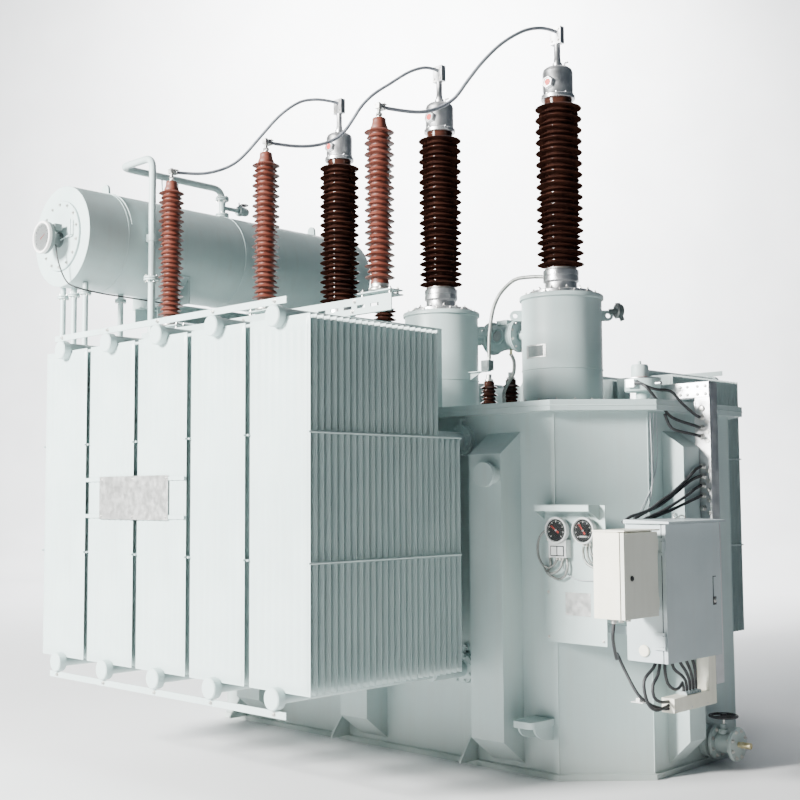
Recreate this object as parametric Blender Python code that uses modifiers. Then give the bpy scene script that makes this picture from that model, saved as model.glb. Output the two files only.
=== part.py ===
"""Oil-filled power transformer with panel radiators, bushings, arresters and conservator."""
import math

import bmesh
import bpy
from mathutils import Matrix, Vector

# Driving sizes in metres: X runs along the tank, Y across it, Z up, origin at the base's centre.
GAP = 0.0003
OVERLAP = 0.012
MERGE = 0.0001

TANK_HALF_LENGTH = 1.905
TANK_WIDTH = 1.82
TANK_CHAMFER = 0.41
FAR_CHAMFER = 0.19
BASE_THICK = 0.035
BASE_PROUD = 0.02
RIM_Z = 2.24
RIM_THICK = 0.03
RIM_OVERHANG = 0.09
COVER_THICK = 0.035

STIFF_WIDTH = 0.26
STIFF_DEPTH = 0.20
STIFF_FRONT_BOTTOM = 0.217
STIFF_FRONT_TOP = 1.98
STIFF_WALL_BOTTOM = 0.065
STIFF_WALL_TOP = 2.12
STIFF_CLEAR = 0.11
END_STIFF_WIDTH = 0.19
END_STIFF_DEPTH = 0.15
END_STIFF_INSET = 0.67
GUSSET_THICK = 0.014
GUSSET_REACH = 0.17
GUSSET_HEIGHT = 0.24
GUSSET_GAP = 0.13
PAD_INSET = 0.52
PAD_SPAN = 0.16
PAD_REACH = 0.22
PAD_Z = 0.325
PAD_THICK = 0.03
PAD_RIB_HEIGHT = 0.12
STUB_SHIFT = 0.07
STUB_Z = 1.85
STUB_RADIUS = 0.055
STUB_CAP_RADIUS = 0.0775
STUB_LENGTH = 0.30
STUB_CAP_THICK = 0.025

RADIATORS = 5
RADIATOR_GAP = 0.046
BANK_MIDDLE_X = -0.372
BANK_REACH = 1.60
PANEL_WIDTH = 0.52
PANEL_PITCH = 0.05
PANEL_THICK = 0.012
PANEL_BOTTOM = 0.64
PANEL_HEIGHT = 2.10
SHORT_HEIGHT = 1.44
TALL_PANELS = 22
SHORT_PANELS = 4
HEADER_RADIUS = 0.060
HEADER_OFFSET = 0.005
LOW_HEADER_RADIUS = 0.032
CAP_RADIUS = 0.064
CAP_REACH = 0.055
GOOSE_RADIUS = 0.055
GOOSE_BEND = 0.07
FLANGE_RADIUS = 0.10
FLANGE_THICK = 0.05
TIE_HEIGHT = 0.04
TIE_THICK = 0.008
TIE_OVERRUN = 0.10
BACK_SHIFT_X = -0.103
BACK_DROP = 0.07

HV_PITCH = 1.10
HV_Y = -0.27
TURRET_RADIUS = 0.2725
TURRET_RIM_RADIUS = 0.2825
TURRET_FOOT_RADIUS = 0.345
TURRET_FLANGE_THICK = 0.03
TURRET_HEIGHT = 0.7647
LUG_REACH = 0.09
LUG_HEIGHT = 0.12
LUG_THICK = 0.02
LUG_HOLE = 0.022
LUG_SHOULDER_SHARE = 0.6
LUG_HOLE_SHARE = 0.55
LUG_DROP = 0.10
COLLAR_RADIUS = 0.22
COLLAR_THICK = 0.03
NECK_RADIUS = 0.112
RING_RADIUS = 0.122
RING_HEIGHT = 0.08
NECK_HEIGHT = 0.15
CORE_RADIUS = 0.0935
SHED_RADIUS = 0.16
SHEDS = 15
SHED_PITCH = 0.078
SHED_THICK = 0.022
SHED_MARGIN = 0.04
HEAD_RADIUS = 0.105
HEAD_HEIGHT = 0.23
HEAD_LIP = 0.012
HEAD_LIP_HEIGHT = 0.03
HEAD_TOP_SHARE = 0.8
STEM_RADIUS = 0.022
STEM_HEIGHT = 0.18
CLAMP_WIDTH = 0.09
CLAMP_DEPTH = 0.045
CLAMP_HEIGHT = 0.12
SIGHT_RADIUS = 0.032
SIGHT_REACH = 0.015
SIGHT_SHARE = 0.45

ARRESTER_X = (0.73, -0.37, -1.47)
ARRESTER_OUT = 0.75
ARRESTER_CORE = 0.054
ARRESTER_SHED = 0.095
ARRESTER_SHEDS = 14
ARRESTER_PITCH = 0.071
ARRESTER_SHED_THICK = 0.018
ARRESTER_FOOT = 0.07
ARRESTER_FOOT_HEIGHT = 0.05
ARRESTER_CAP_RADIUS = 0.042
ARRESTER_CAP_HEIGHT = 0.06
ARRESTER_PIN_RADIUS = 0.012
ARRESTER_PIN_HEIGHT = 0.10
BEAM_CLEAR = 0.185
BEAM_HEIGHT = 0.133
BEAM_DEPTH = 0.11
BEAM_WALL = 0.008
BEAM_OVERHANGS = (0.15, 0.294)
BEAM_LEG = 0.07
BEAM_LEG_X = (0.477, -1.221)
SLOTS = 21
SLOT_PITCH = 0.12
SLOT_INSET = 0.1435
SLOT_DROP = 0.085
SLOT_LENGTH = 0.072
SLOT_HEIGHT = 0.02

DRUM_RISE = 1.4247
DRUM_RADIUS = 0.39
DRUM_WALL = 0.006
DRUM_OUT = 1.17
DRUM_BACK_INSET = 0.06
DRUM_END_THICK = 0.02
DRUM_COVER_RADIUS = 0.27
DRUM_COVER_THICK = 0.018
GAUGE_RADIUS = 0.125
GAUGE_DEPTH = 0.06
GAUGE_STEM_RADIUS = 0.045
GAUGE_STEM = 0.10
GAUGE_DROP = 0.03
STAND_LEG = 0.12
STAND_WALL = 0.02
STAND_Y = (-0.42, 0.42)
SADDLE_Y = (-1.18, 0.48)
SADDLE_RISE = 0.06
BEARER = 0.14
RAIL_SPREAD = 0.16
RAIL_WIDTH = 0.07
SADDLE_STEPS = 3
SADDLE_WIDTH = 0.12
STAND_TIE_Z = 2.75
STAND_TIE_HEIGHT = 0.08

FEED_Y = 0.16
FEED_RADIUS = 0.045
FEED_START_X = 0.62
FEED_Z = 2.90
RELAY_X = 0.27
RELAY_RADIUS = 0.125
RELAY_LENGTH = 0.22
RELAY_FLANGE = 0.025
RELAY_BODY_SHARE = 0.8
FEED_RISE = 0.07
VENT_CLEAR = 0.076
VENT_GAP = 0.05
VENT_OUT = 0.665
VENT_RADIUS = 0.028
VENT_RISE = 0.64
VENT_BOTTOM = 2.75
VENT_DROP_Y = -0.55
VENT_BEND = 0.09
DRAIN_PIPE_RADIUS = 0.024
DRAIN_PIPE_BOTTOM = 2.70
DRAIN_FLANGE_RADIUS = 0.045
DRAIN_FLANGE_THICK = 0.016
DRAIN_SPREAD = 0.16
DRAIN_INSETS = (0.095, 0.515)
DRAIN_COLLAR_DROP = 0.045

PRV_INSET = 0.17
PRV_OFFSET = 0.187
PRV_FOOT_RADIUS = 0.085
PRV_FOOT_THICK = 0.012
PRV_NECK_RADIUS = 0.05
PRV_NECK_HEIGHT = 0.083
PRV_DRUM_RADIUS = 0.115
PRV_DRUM_HEIGHT = 0.097
PRV_CAP_RADIUS = 0.055
PRV_CAP_HEIGHT = 0.085
TRUNK_SIZE = 0.102
TRUNK_CLEAR = 0.034
TRUNK_INSET = 0.822
TRUNK_BOTTOM = 0.55
TRUNK_RISE = 0.125
TRUNK_ARM_INSET = 0.385

INST_OUT = 0.03
INST_INSETS = (0.472, 0.025)
INST_Z = (0.832, 1.66)
INST_THICK = 0.006
VISOR_REACH = 0.11
VISOR_LIP = 0.035
VISOR_INSET = 0.065
DIAL_RADIUS = 0.08
DIAL_DEPTH = 0.07
DIAL_NECK_SHARE = 0.8
DIAL_INSETS = (0.338, 0.14)
DIAL_Z = 1.51

CAB_CLEAR = 0.125
CAB_DEPTH = 0.2375
CAB_OUT = 0.052
CAB_WIDTH = 0.606
CAB_Z = (0.771, 1.558)
BOX_SHIFT = 0.07
BOX_DEPTH = 0.1695
BOX_GAP = 0.088
BOX_WIDTH = 0.338
BOX_Z = (1.048, 1.516)
SHEET = 0.004
DOOR_THICK = 0.025
DOOR_CLEAR = 0.0055
HINGE_RADIUS = 0.009
HINGE_OUT = 0.011
HINGE_HEIGHT = 0.06
EAR_RADIUS = 0.006
EAR_CLEAR = 0.001
STRAP_SHARE = 0.85
HINGE_SHARE = 0.16
STAY_SHARE = 0.36
LID_OVERHANG = 0.02
BRACKET = 0.05
TRAY_Z = 0.446
TRAY_SIZE = 0.085
TRAY_SHIFT = 0.045
TRAY_LENGTH = 0.49
TRAY_PAST = 0.166
TRAY_RISE = 0.10

VALVE_Y = 0.12
VALVE_Z = 0.145
VALVE_FLANGE = 0.1075
VALVE_FLANGE_THICK = 0.022
VALVE_PIPE = 0.05
VALVE_REACH = 0.225
VALVE_STEM_SHARE = 0.55
VALVE_NECK_SHARE = 0.3
VALVE_PLUG = 0.09
VALVE_BONNET_HEIGHT = 0.116
VALVE_BONNET_RADIUS = 0.038
STEM_PIN = 0.010
WHEEL_RADIUS = 0.085
WHEEL_RIM = 0.010
WHEEL_RISE = 0.035
WHEEL_SPOKES = 3
SPOKE_SHARE = 0.7
SPOKE_TURN = 11
HUB_RADIUS = 0.022
HUB_HEIGHT = 0.03

LV_Y = 0.45
LV_X = (0.30, 0.08, -0.14, -0.36)
LV_BOX_HEIGHT = 0.10
LV_BOX_DEPTH = 0.26
LV_BOX_MARGIN = 0.14
LV_CORE = 0.042
LV_SHED = 0.07
LV_SHEDS = 3
LV_PITCH = 0.06
NEUTRAL_X = -1.30
NEUTRAL_Y = 0.45
NEUTRAL_TURRET = 0.14
NEUTRAL_TURRET_HEIGHT = 0.35
NEUTRAL_FOOT_SHARE = 1.3
NEUTRAL_SHEDS = 9
NEUTRAL_PITCH = 0.072
NEUTRAL_CORE = 0.06
NEUTRAL_SHED = 0.105
LEAD_RADIUS = 0.012
LEAD_STEP = 0.085
LEAD_STRAIGHT = 0.04
LEAD_HIGH_DROP = 0.0326
LEAD_LOW_DROP = 0.0243

# The leads' routes, chosen by hand: share of the way, then aside and up as shares of the span.
LEAD_SHARES = (
    ((0.0791, 0.0058, 0.0376), (0.1824, 0.0047, 0.0618), (0.3153, 0.001, 0.0499), (0.4334, 0.0002, 0.0059),
     (0.5367, -0.0009, -0.0577), (0.6105, 0.0006, -0.104), (0.7367, 0.0004, -0.1065),
     (0.8467, -0.0011, -0.0717)),
    ((0.0791, 0.0058, 0.0376), (0.1824, 0.0047, 0.0492), (0.2932, -0.0022, 0.03),
     (0.3965, -0.0021, 0.0134), (0.4755, -0.0013, -0.0242), (0.5293, -0.0007, -0.0737),
     (0.6031, -0.0012, -0.1169), (0.7212, -0.0007, -0.1108), (0.8467, -0.0011, -0.0717)),
    ((0.1013, 0.0047, 0.0495), (0.2267, -0.0007, 0.086), (0.3596, -0.0012, 0.0616),
     (0.4777, -0.0008, -0.0025), (0.5817, -0.0005, -0.0644), (0.671, 0.0002, -0.0908),
     (0.8172, 0.0015, -0.0745)),
)

SIDES_ROUND = 14
SIDES_SHED = 8
SIDES_PIPE = 6
DRUM_SIDES = 20

# Heights and places that follow from the driving sizes.
COVER_Z = RIM_Z + RIM_THICK + GAP
DECK_Z = COVER_Z + COVER_THICK
WALL_Y = TANK_WIDTH / 2
END_X = TANK_HALF_LENGTH
BANK_FACE_Y = WALL_Y + BANK_REACH
RADIATOR_PITCH = PANEL_WIDTH + RADIATOR_GAP
BANK_HALF = (RADIATOR_PITCH * (RADIATORS - 1) + PANEL_WIDTH) / 2
BANK_END_X = BANK_MIDDLE_X + BANK_HALF
BANK_LOW_X = BANK_MIDDLE_X - BANK_HALF
STIFF_END_X = BANK_END_X - PANEL_WIDTH / 2 + FLANGE_RADIUS + STIFF_CLEAR + STIFF_WIDTH / 2
STUB_X = STIFF_END_X + STUB_SHIFT
PAD_X = END_X - PAD_INSET
END_STIFF_Y = WALL_Y - END_STIFF_INSET
PANEL_TOP = PANEL_BOTTOM + PANEL_HEIGHT
SHORT_TOP = PANEL_BOTTOM + SHORT_HEIGHT
LOW_HEADER_Z = PANEL_BOTTOM - GAP - LOW_HEADER_RADIUS
TURRET_TOP = DECK_Z + TURRET_HEIGHT
COLLAR_Z = TURRET_TOP + GAP
PORCELAIN_Z = COLLAR_Z + COLLAR_THICK + NECK_HEIGHT
PORCELAIN_TOP = PORCELAIN_Z + SHED_MARGIN * 2 + SHED_PITCH * (SHEDS - 1) + SHED_THICK
CLAMP_TOP = PORCELAIN_TOP + GAP + HEAD_HEIGHT + STEM_HEIGHT - OVERLAP + CLAMP_HEIGHT
BEAM_Z = PANEL_TOP + HEADER_OFFSET + HEADER_RADIUS + BEAM_CLEAR
BEAM_END_X = ARRESTER_X[0] + BEAM_OVERHANGS[0]
BEAM_LOW_X = ARRESTER_X[-1] - BEAM_OVERHANGS[1]
ARRESTER_Y = -WALL_Y - ARRESTER_OUT
ARRESTER_Z = BEAM_Z + GAP
ARRESTER_CAP_Z = ARRESTER_Z + ARRESTER_FOOT_HEIGHT + ARRESTER_PITCH * ARRESTER_SHEDS
LEAD_HIGH = CLAMP_TOP - LEAD_HIGH_DROP
LEAD_LOW = ARRESTER_CAP_Z + ARRESTER_CAP_HEIGHT + ARRESTER_PIN_HEIGHT - LEAD_LOW_DROP
VENT_X = BANK_LOW_X - VENT_CLEAR
VENT_Y = -WALL_Y - VENT_OUT
DRUM_X = VENT_X - VENT_GAP - DRUM_RADIUS
DRUM_Z = DECK_Z + DRUM_RISE
VENT_TOP = DRUM_Z + VENT_RISE
DRUM_FRONT_Y = -WALL_Y - DRUM_OUT
DRUM_BACK_Y = WALL_Y - DRUM_BACK_INSET
TRUNK_Y = -WALL_Y + TRUNK_INSET
TRUNK_TOP = DECK_Z + TRUNK_RISE
TRUNK_ARM_X = END_X - TRUNK_ARM_INSET
PRV_X = END_X - PRV_INSET
PRV_Y = TRUNK_Y - PRV_OFFSET
PANEL_Y = -WALL_Y - INST_OUT
INST_X = tuple(END_X - inset for inset in INST_INSETS)
DIAL_X = tuple(END_X - inset for inset in DIAL_INSETS)
VISOR_END_X = END_X - VISOR_INSET
CAB_X = (END_X + CAB_CLEAR, END_X + CAB_CLEAR + CAB_DEPTH)
CAB_Y = (-WALL_Y - CAB_OUT, -WALL_Y - CAB_OUT + CAB_WIDTH)
BOX_X = (CAB_X[0] + BOX_SHIFT, CAB_X[0] + BOX_SHIFT + BOX_DEPTH)
BOX_Y = (CAB_Y[0] - BOX_GAP - BOX_WIDTH, CAB_Y[0] - BOX_GAP)

parts = bpy.data.collections.new("power_transformer")
cutters = bpy.data.collections.new("cutters")


def clear_scene():
    for old in list(bpy.data.objects):
        bpy.data.objects.remove(old, do_unlink=True)
    bpy.context.scene.collection.children.link(parts)
    bpy.context.scene.collection.children.link(cutters)


def finish(name, colour, roughness, metallic=0.0):
    surface = bpy.data.materials.new(name)
    surface.use_nodes = True
    shader = surface.node_tree.nodes["Principled BSDF"]
    shader.inputs["Base Color"].default_value = (*colour, 1.0)
    shader.inputs["Roughness"].default_value = roughness
    shader.inputs["Metallic"].default_value = metallic
    return surface


def add_object(name, mesh, surface=None, smooth=False):
    item = bpy.data.objects.new(name, mesh)
    parts.objects.link(item)
    if surface and not mesh.materials:
        mesh.materials.append(surface)
    if smooth:
        mesh.shade_smooth()
        mesh.set_sharp_from_angle(angle=math.radians(35))
    return item


def box(name, low, high, surface=None):
    """A box between two corners."""
    shape = bmesh.new()
    low = Vector(low)
    high = Vector(high)
    size = Matrix.Diagonal((high - low).to_4d())
    place = Matrix.Translation((low + high) / 2)
    bmesh.ops.create_cube(shape, size=1.0, matrix=place @ size)
    mesh = bpy.data.meshes.new(name)
    shape.to_mesh(mesh)
    shape.free()
    return add_object(name, mesh, surface)


def rod(name, start, end, radius, sides=SIDES_PIPE, surface=None, turn=0.0):
    """A round bar between two points."""
    shape = bmesh.new()
    start = Vector(start)
    end = Vector(end)
    run = end - start
    aim = run.to_track_quat("Z", "Y").to_matrix().to_4x4()
    place = Matrix.Translation((start + end) / 2) @ aim @ Matrix.Rotation(turn, 4, "Z")
    bmesh.ops.create_cone(shape, cap_ends=True, segments=sides, radius1=radius, radius2=radius,
                          depth=run.length, matrix=place)
    mesh = bpy.data.meshes.new(name)
    shape.to_mesh(mesh)
    shape.free()
    return add_object(name, mesh, surface, smooth=sides > 6)


def turned(name, profile, place, surface=None, sides=SIDES_ROUND, axis="Z", closed=False):
    """A turned shape: the profile is (radius, height) from the top down."""
    mesh = bpy.data.meshes.new(name)
    edges = [(i, i + 1) for i in range(len(profile) - 1)]
    if closed:
        edges.append((len(profile) - 1, 0))
    mesh.from_pydata([(radius, 0.0, height) for radius, height in profile], edges, [])
    item = add_object(name, mesh, surface)
    screw = item.modifiers.new("turn", "SCREW")
    screw.steps = sides
    screw.render_steps = sides
    screw.use_merge_vertices = True
    screw.merge_threshold = MERGE
    screw.use_smooth_shade = True
    item.location = place
    if axis == "X":
        item.rotation_euler = (0.0, math.radians(90), 0.0)
    if axis == "-Y":
        item.rotation_euler = (math.radians(90), 0.0, 0.0)
    return item


def plate(name, outline, thickness, place=(0.0, 0.0, 0.0), turn=(0.0, 0.0, 0.0), surface=None, holes=()):
    """A flat outline with thickness, centred on its own plane."""
    drawing = bpy.data.curves.new(name, "CURVE")
    drawing.dimensions = "2D"
    drawing.fill_mode = "BOTH"
    drawing.extrude = thickness / 2
    for loop in (outline, *holes):
        line = drawing.splines.new("POLY")
        line.points.add(len(loop) - 1)
        for point, (x, y) in zip(line.points, loop):
            point.co = (x, y, 0.0, 1.0)
        line.use_cyclic_u = True
    item = bpy.data.objects.new(name, drawing)
    parts.objects.link(item)
    item.location = place
    item.rotation_euler = turn
    return to_mesh(item, surface)


def tube(name, route, radius, surface=None, resolution=1):
    """A pipe or wire along a route of points."""
    line = bpy.data.curves.new(name, "CURVE")
    line.dimensions = "3D"
    line.bevel_depth = radius
    line.bevel_resolution = resolution
    line.use_fill_caps = True
    spline = line.splines.new("POLY")
    spline.points.add(len(route) - 1)
    for point, place in zip(spline.points, route):
        point.co = (*place, 1.0)
    item = bpy.data.objects.new(name, line)
    parts.objects.link(item)
    return to_mesh(item, surface, smooth=True)


def to_mesh(item, surface=None, smooth=False):
    """Turn a curve into a closed mesh that a Boolean can use."""
    bpy.context.view_layer.update()
    graph = bpy.context.evaluated_depsgraph_get()
    mesh = bpy.data.meshes.new_from_object(item.evaluated_get(graph))
    shape = bmesh.new()
    shape.from_mesh(mesh)
    bmesh.ops.remove_doubles(shape, verts=shape.verts, dist=MERGE)
    bmesh.ops.recalc_face_normals(shape, faces=shape.faces)
    shape.to_mesh(mesh)
    shape.free()
    name = item.name
    place = item.matrix_world.copy()
    bpy.data.objects.remove(item, do_unlink=True)
    solid = add_object(name, mesh, surface, smooth)
    solid.matrix_world = place
    return solid


def combine(item, others, operation="UNION"):
    """Join other solids to one, or cut it with them."""
    for other in others:
        parts.objects.unlink(other)
        cutters.objects.link(other)
        other.hide_render = True
        other.display_type = "WIRE"
        step = item.modifiers.new(operation.lower(), "BOOLEAN")
        step.operation = operation
        step.solver = "EXACT"
        step.object = other
    return item


def circle(radius, sides, centre=(0.0, 0.0)):
    turn = math.tau / sides
    return [(centre[0] + radius * math.cos(turn * i), centre[1] + radius * math.sin(turn * i))
            for i in range(sides)]


def octagon(grow=0.0):
    """The tank's plan, grown outwards by an equal amount."""
    x = END_X + grow
    y = WALL_Y + grow
    extra = grow * (2 - math.sqrt(2))
    near = TANK_CHAMFER + extra
    far = FAR_CHAMFER + extra
    return [(x, -y + near), (x, y - near), (x - near, y), (-x + far, y),
            (-x, y - far), (-x, -y + far), (-x + far, -y), (x - near, -y)]


def slab(name, grow, low, high, surface=None):
    return plate(name, octagon(grow), high - low, (0.0, 0.0, (low + high) / 2), surface=surface)


def side_plate(name, outline, x, thickness, surface=None, holes=()):
    """A plate across the length: its outline is (y, z), centred on x."""
    quarter = math.radians(90)
    return plate(name, outline, thickness, (x, 0.0, 0.0), (quarter, 0.0, quarter), surface, holes)


def front_plate(name, outline, y, thickness, surface=None, holes=()):
    """A plate along the length: its outline is (x, z), centred on y."""
    return plate(name, outline, thickness, (0.0, y, 0.0), (math.radians(90), 0.0, 0.0), surface, holes)


def bank_x(index):
    return BANK_END_X - PANEL_WIDTH / 2 - RADIATOR_PITCH * index


def elbow(corner, before, after, bend, count=3):
    """Points of a rounded corner between two runs."""
    corner = Vector(corner)
    start = corner + (Vector(before) - corner).normalized() * bend
    end = corner + (Vector(after) - corner).normalized() * bend
    points = []
    for i in range(count + 1):
        t = i / count
        points.append(start.lerp(corner, t).lerp(corner.lerp(end, t), t))
    return points


def pipe_route(corners, bend):
    route = [Vector(corners[0])]
    for before, corner, after in zip(corners, corners[1:], corners[2:]):
        route += elbow(corner, before, after, bend)
    route.append(Vector(corners[-1]))
    return route


def long_wall_outline(side):
    wall = WALL_Y - OVERLAP
    front = WALL_Y + STIFF_DEPTH
    points = [(wall, STIFF_WALL_BOTTOM), (front, STIFF_FRONT_BOTTOM), (front, STIFF_FRONT_TOP),
              (wall, STIFF_WALL_TOP)]
    return [(side * y, z) for y, z in points]


def stiffener_places(side):
    """Places along one long wall: past the bank's end, and in two gaps between radiators."""
    gap = bank_x(1) - RADIATOR_PITCH / 2
    if side > 0:
        gap += BACK_SHIFT_X
    return [STIFF_END_X, gap, gap - 2 * RADIATOR_PITCH]


def build_tank(paint):
    tank = slab("tank_body", 0.0, 0.0, RIM_Z, paint)
    pieces = [slab("base_plate", BASE_PROUD, 0.0, BASE_THICK),
              slab("rim", RIM_OVERHANG, RIM_Z - OVERLAP, COVER_Z - GAP)]
    for side in (-1, 1):
        for x in stiffener_places(side):
            pieces.append(side_plate("stiffener", long_wall_outline(side), x, STIFF_WIDTH))
            wall = side * (WALL_Y - OVERLAP)
            foot = side * (WALL_Y + GUSSET_REACH)
            rib = [(wall, BASE_THICK), (foot, BASE_THICK), (wall, BASE_THICK + GUSSET_HEIGHT)]
            rib_x = x - STIFF_WIDTH / 2 - GUSSET_GAP
            pieces.append(side_plate("gusset", rib, rib_x, GUSSET_THICK))
        for end in (-1, 1):
            pieces.append(jacking_pad(end, side))
    for end in (-1, 1):
        for side in (-1, 1):
            wall = end * (END_X - OVERLAP)
            face = end * (END_X + END_STIFF_DEPTH)
            drop = END_STIFF_DEPTH * (STIFF_WALL_TOP - STIFF_FRONT_TOP) / STIFF_DEPTH
            outline = [(wall, STIFF_WALL_BOTTOM), (face, STIFF_FRONT_BOTTOM), (face, STIFF_WALL_TOP - drop),
                       (wall, STIFF_WALL_TOP)]
            if not (end > 0 and side > 0):
                pieces.append(front_plate("end_stiffener", outline, side * END_STIFF_Y, END_STIFF_WIDTH))
    cap_end = -WALL_Y - STUB_LENGTH
    pieces.append(rod("stub", (STUB_X, -WALL_Y + OVERLAP, STUB_Z), (STUB_X, cap_end, STUB_Z), STUB_RADIUS))
    pieces.append(rod("stub_cap", (STUB_X, cap_end + STUB_CAP_THICK / 2, STUB_Z),
                      (STUB_X, cap_end - STUB_CAP_THICK, STUB_Z), STUB_CAP_RADIUS, SIDES_SHED))
    combine(tank, pieces)
    slab("tank_cover", RIM_OVERHANG, COVER_Z, DECK_Z, paint)


def jacking_pad(end, side):
    """A lifting pad with ribs above and below it, on a long wall."""
    wall = side * (WALL_Y - OVERLAP)
    out = side * (WALL_Y + PAD_REACH)
    low = (end * PAD_X - PAD_SPAN / 2, min(wall, out), PAD_Z)
    high = (end * PAD_X + PAD_SPAN / 2, max(wall, out), PAD_Z + PAD_THICK)
    pad = box("pad", low, high)
    ribs = []
    for shift in (-1, 1):
        x = end * PAD_X + shift * (PAD_SPAN / 2 - GUSSET_THICK)
        tip = PAD_Z + PAD_THICK
        outline = [(wall, tip - PAD_RIB_HEIGHT), (out - side * OVERLAP, tip - PAD_THICK / 2),
                   (out - side * OVERLAP, tip), (wall, tip + PAD_RIB_HEIGHT)]
        ribs.append(side_plate("pad_rib", outline, x, GUSSET_THICK))
    return combine(pad, ribs)


def build_radiator(paint):
    """One radiator with its panels crossed by the headers, at x = 0 on the front side."""
    stack = bmesh.new()
    for i in range(TALL_PANELS + SHORT_PANELS):
        top = PANEL_TOP if i < TALL_PANELS else SHORT_TOP
        y = -BANK_FACE_Y + PANEL_THICK / 2 + PANEL_PITCH * i
        size = Matrix.Diagonal((PANEL_WIDTH, PANEL_THICK, top - PANEL_BOTTOM, 1.0))
        place = Matrix.Translation((0.0, y, (top + PANEL_BOTTOM) / 2))
        bmesh.ops.create_cube(stack, size=1.0, matrix=place @ size)
    mesh = bpy.data.meshes.new("radiator")
    stack.to_mesh(mesh)
    stack.free()
    item = add_object("radiator", mesh, paint)

    top_z = PANEL_TOP + HEADER_OFFSET
    low_z = LOW_HEADER_Z
    short_z = SHORT_TOP + HEADER_OFFSET
    face = -BANK_FACE_Y
    tall_end = face + PANEL_PITCH * (TALL_PANELS - 1) + PANEL_THICK
    stack_end = tall_end + PANEL_PITCH * SHORT_PANELS
    turn_y = tall_end + PANEL_PITCH * SHORT_PANELS / 2
    seat = -WALL_Y - GAP
    start = face - CAP_REACH / 2
    quarter = math.radians(90)
    header_end = (0.0, tall_end + PANEL_THICK, top_z)
    pieces = [rod("header", (0.0, start, top_z), header_end, HEADER_RADIUS, 4, turn=quarter)]
    for z in (top_z, low_z):
        pieces.append(rod("cap", (0.0, face - CAP_REACH, z), (0.0, face + PANEL_THICK / 2, z), CAP_RADIUS,
                          SIDES_SHED))
    neck = [(0.0, tall_end - PANEL_THICK / 2, top_z), (0.0, turn_y, top_z), (0.0, turn_y, short_z)]
    pieces.append(tube("gooseneck", pipe_route(neck, GOOSE_BEND), GOOSE_RADIUS))
    short_start = tall_end + PANEL_PITCH - PANEL_THICK * 2
    short_end = (0.0, seat, short_z)
    low_end = (0.0, seat, low_z)
    pieces.append(rod("short_header", (0.0, short_start, short_z), short_end, HEADER_RADIUS, 4, turn=quarter))
    pieces.append(rod("low_header", (0.0, start, low_z), low_end, LOW_HEADER_RADIUS))
    pieces.append(rod("low_collar", (0.0, stack_end - PANEL_THICK / 2, low_z), low_end, GOOSE_RADIUS))
    for end in (short_end, low_end):
        flange_start = Vector(end) - Vector((0.0, FLANGE_THICK, 0.0))
        pieces.append(rod("valve_flange", flange_start, end, FLANGE_RADIUS, SIDES_SHED))
    combine(item, pieces)
    return to_mesh(item, paint)


def build_radiators(paint):
    model = build_radiator(paint)
    banks = (("front", -1, 0.0, 0.0, 0.0), ("back", 1, math.radians(180), BACK_SHIFT_X, -BACK_DROP))
    for side, sign, turn, shift, rise in banks:
        for i in range(RADIATORS):
            copy = add_object("radiator_%s_%d" % (side, i + 1), model.data)
            copy.location = (bank_x(i) + shift, 0.0, rise)
            copy.rotation_euler = (0.0, 0.0, turn)
        y = sign * (BANK_FACE_Y + CAP_REACH / 2)
        low_x = bank_x(RADIATORS - 1) - TIE_OVERRUN + shift
        high_x = bank_x(0) + TIE_OVERRUN + shift
        top = PANEL_TOP + HEADER_OFFSET + CAP_RADIUS + GAP + rise
        low = LOW_HEADER_Z - CAP_RADIUS - GAP + rise
        for level, z in (("upper", top), ("lower", low - TIE_HEIGHT)):
            box("header_tie_%s_%s" % (side, level), (low_x, y - TIE_THICK / 2, z),
                (high_x, y + TIE_THICK / 2, z + TIE_HEIGHT), paint)
    bpy.data.objects.remove(model, do_unlink=True)


def lug(name, x, y, z, side):
    """A lifting lug with an eye, standing out along X."""
    reach = side * LUG_REACH
    start = x - side * OVERLAP
    shoulder = x + reach * LUG_SHOULDER_SHARE
    low = z - LUG_HEIGHT / 2
    high = z + LUG_HEIGHT / 2
    outline = [(start, low), (shoulder, low + LUG_HEIGHT / 4), (x + reach, z),
               (x + reach, high - LUG_HEIGHT / 4), (shoulder, high), (start, high)]
    hole = circle(LUG_HOLE, 6, (x + reach * LUG_HOLE_SHARE, z + LUG_HEIGHT / 8))
    return front_plate(name, outline, y, LUG_THICK, holes=(hole,))


def sheds(core, reach, count, pitch, thick, low):
    """Profile of a column of sheds, from the top down."""
    points = []
    for i in reversed(range(count)):
        z = low + pitch * i
        points += [(core, z + thick), (reach, z)]
    return points


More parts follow.
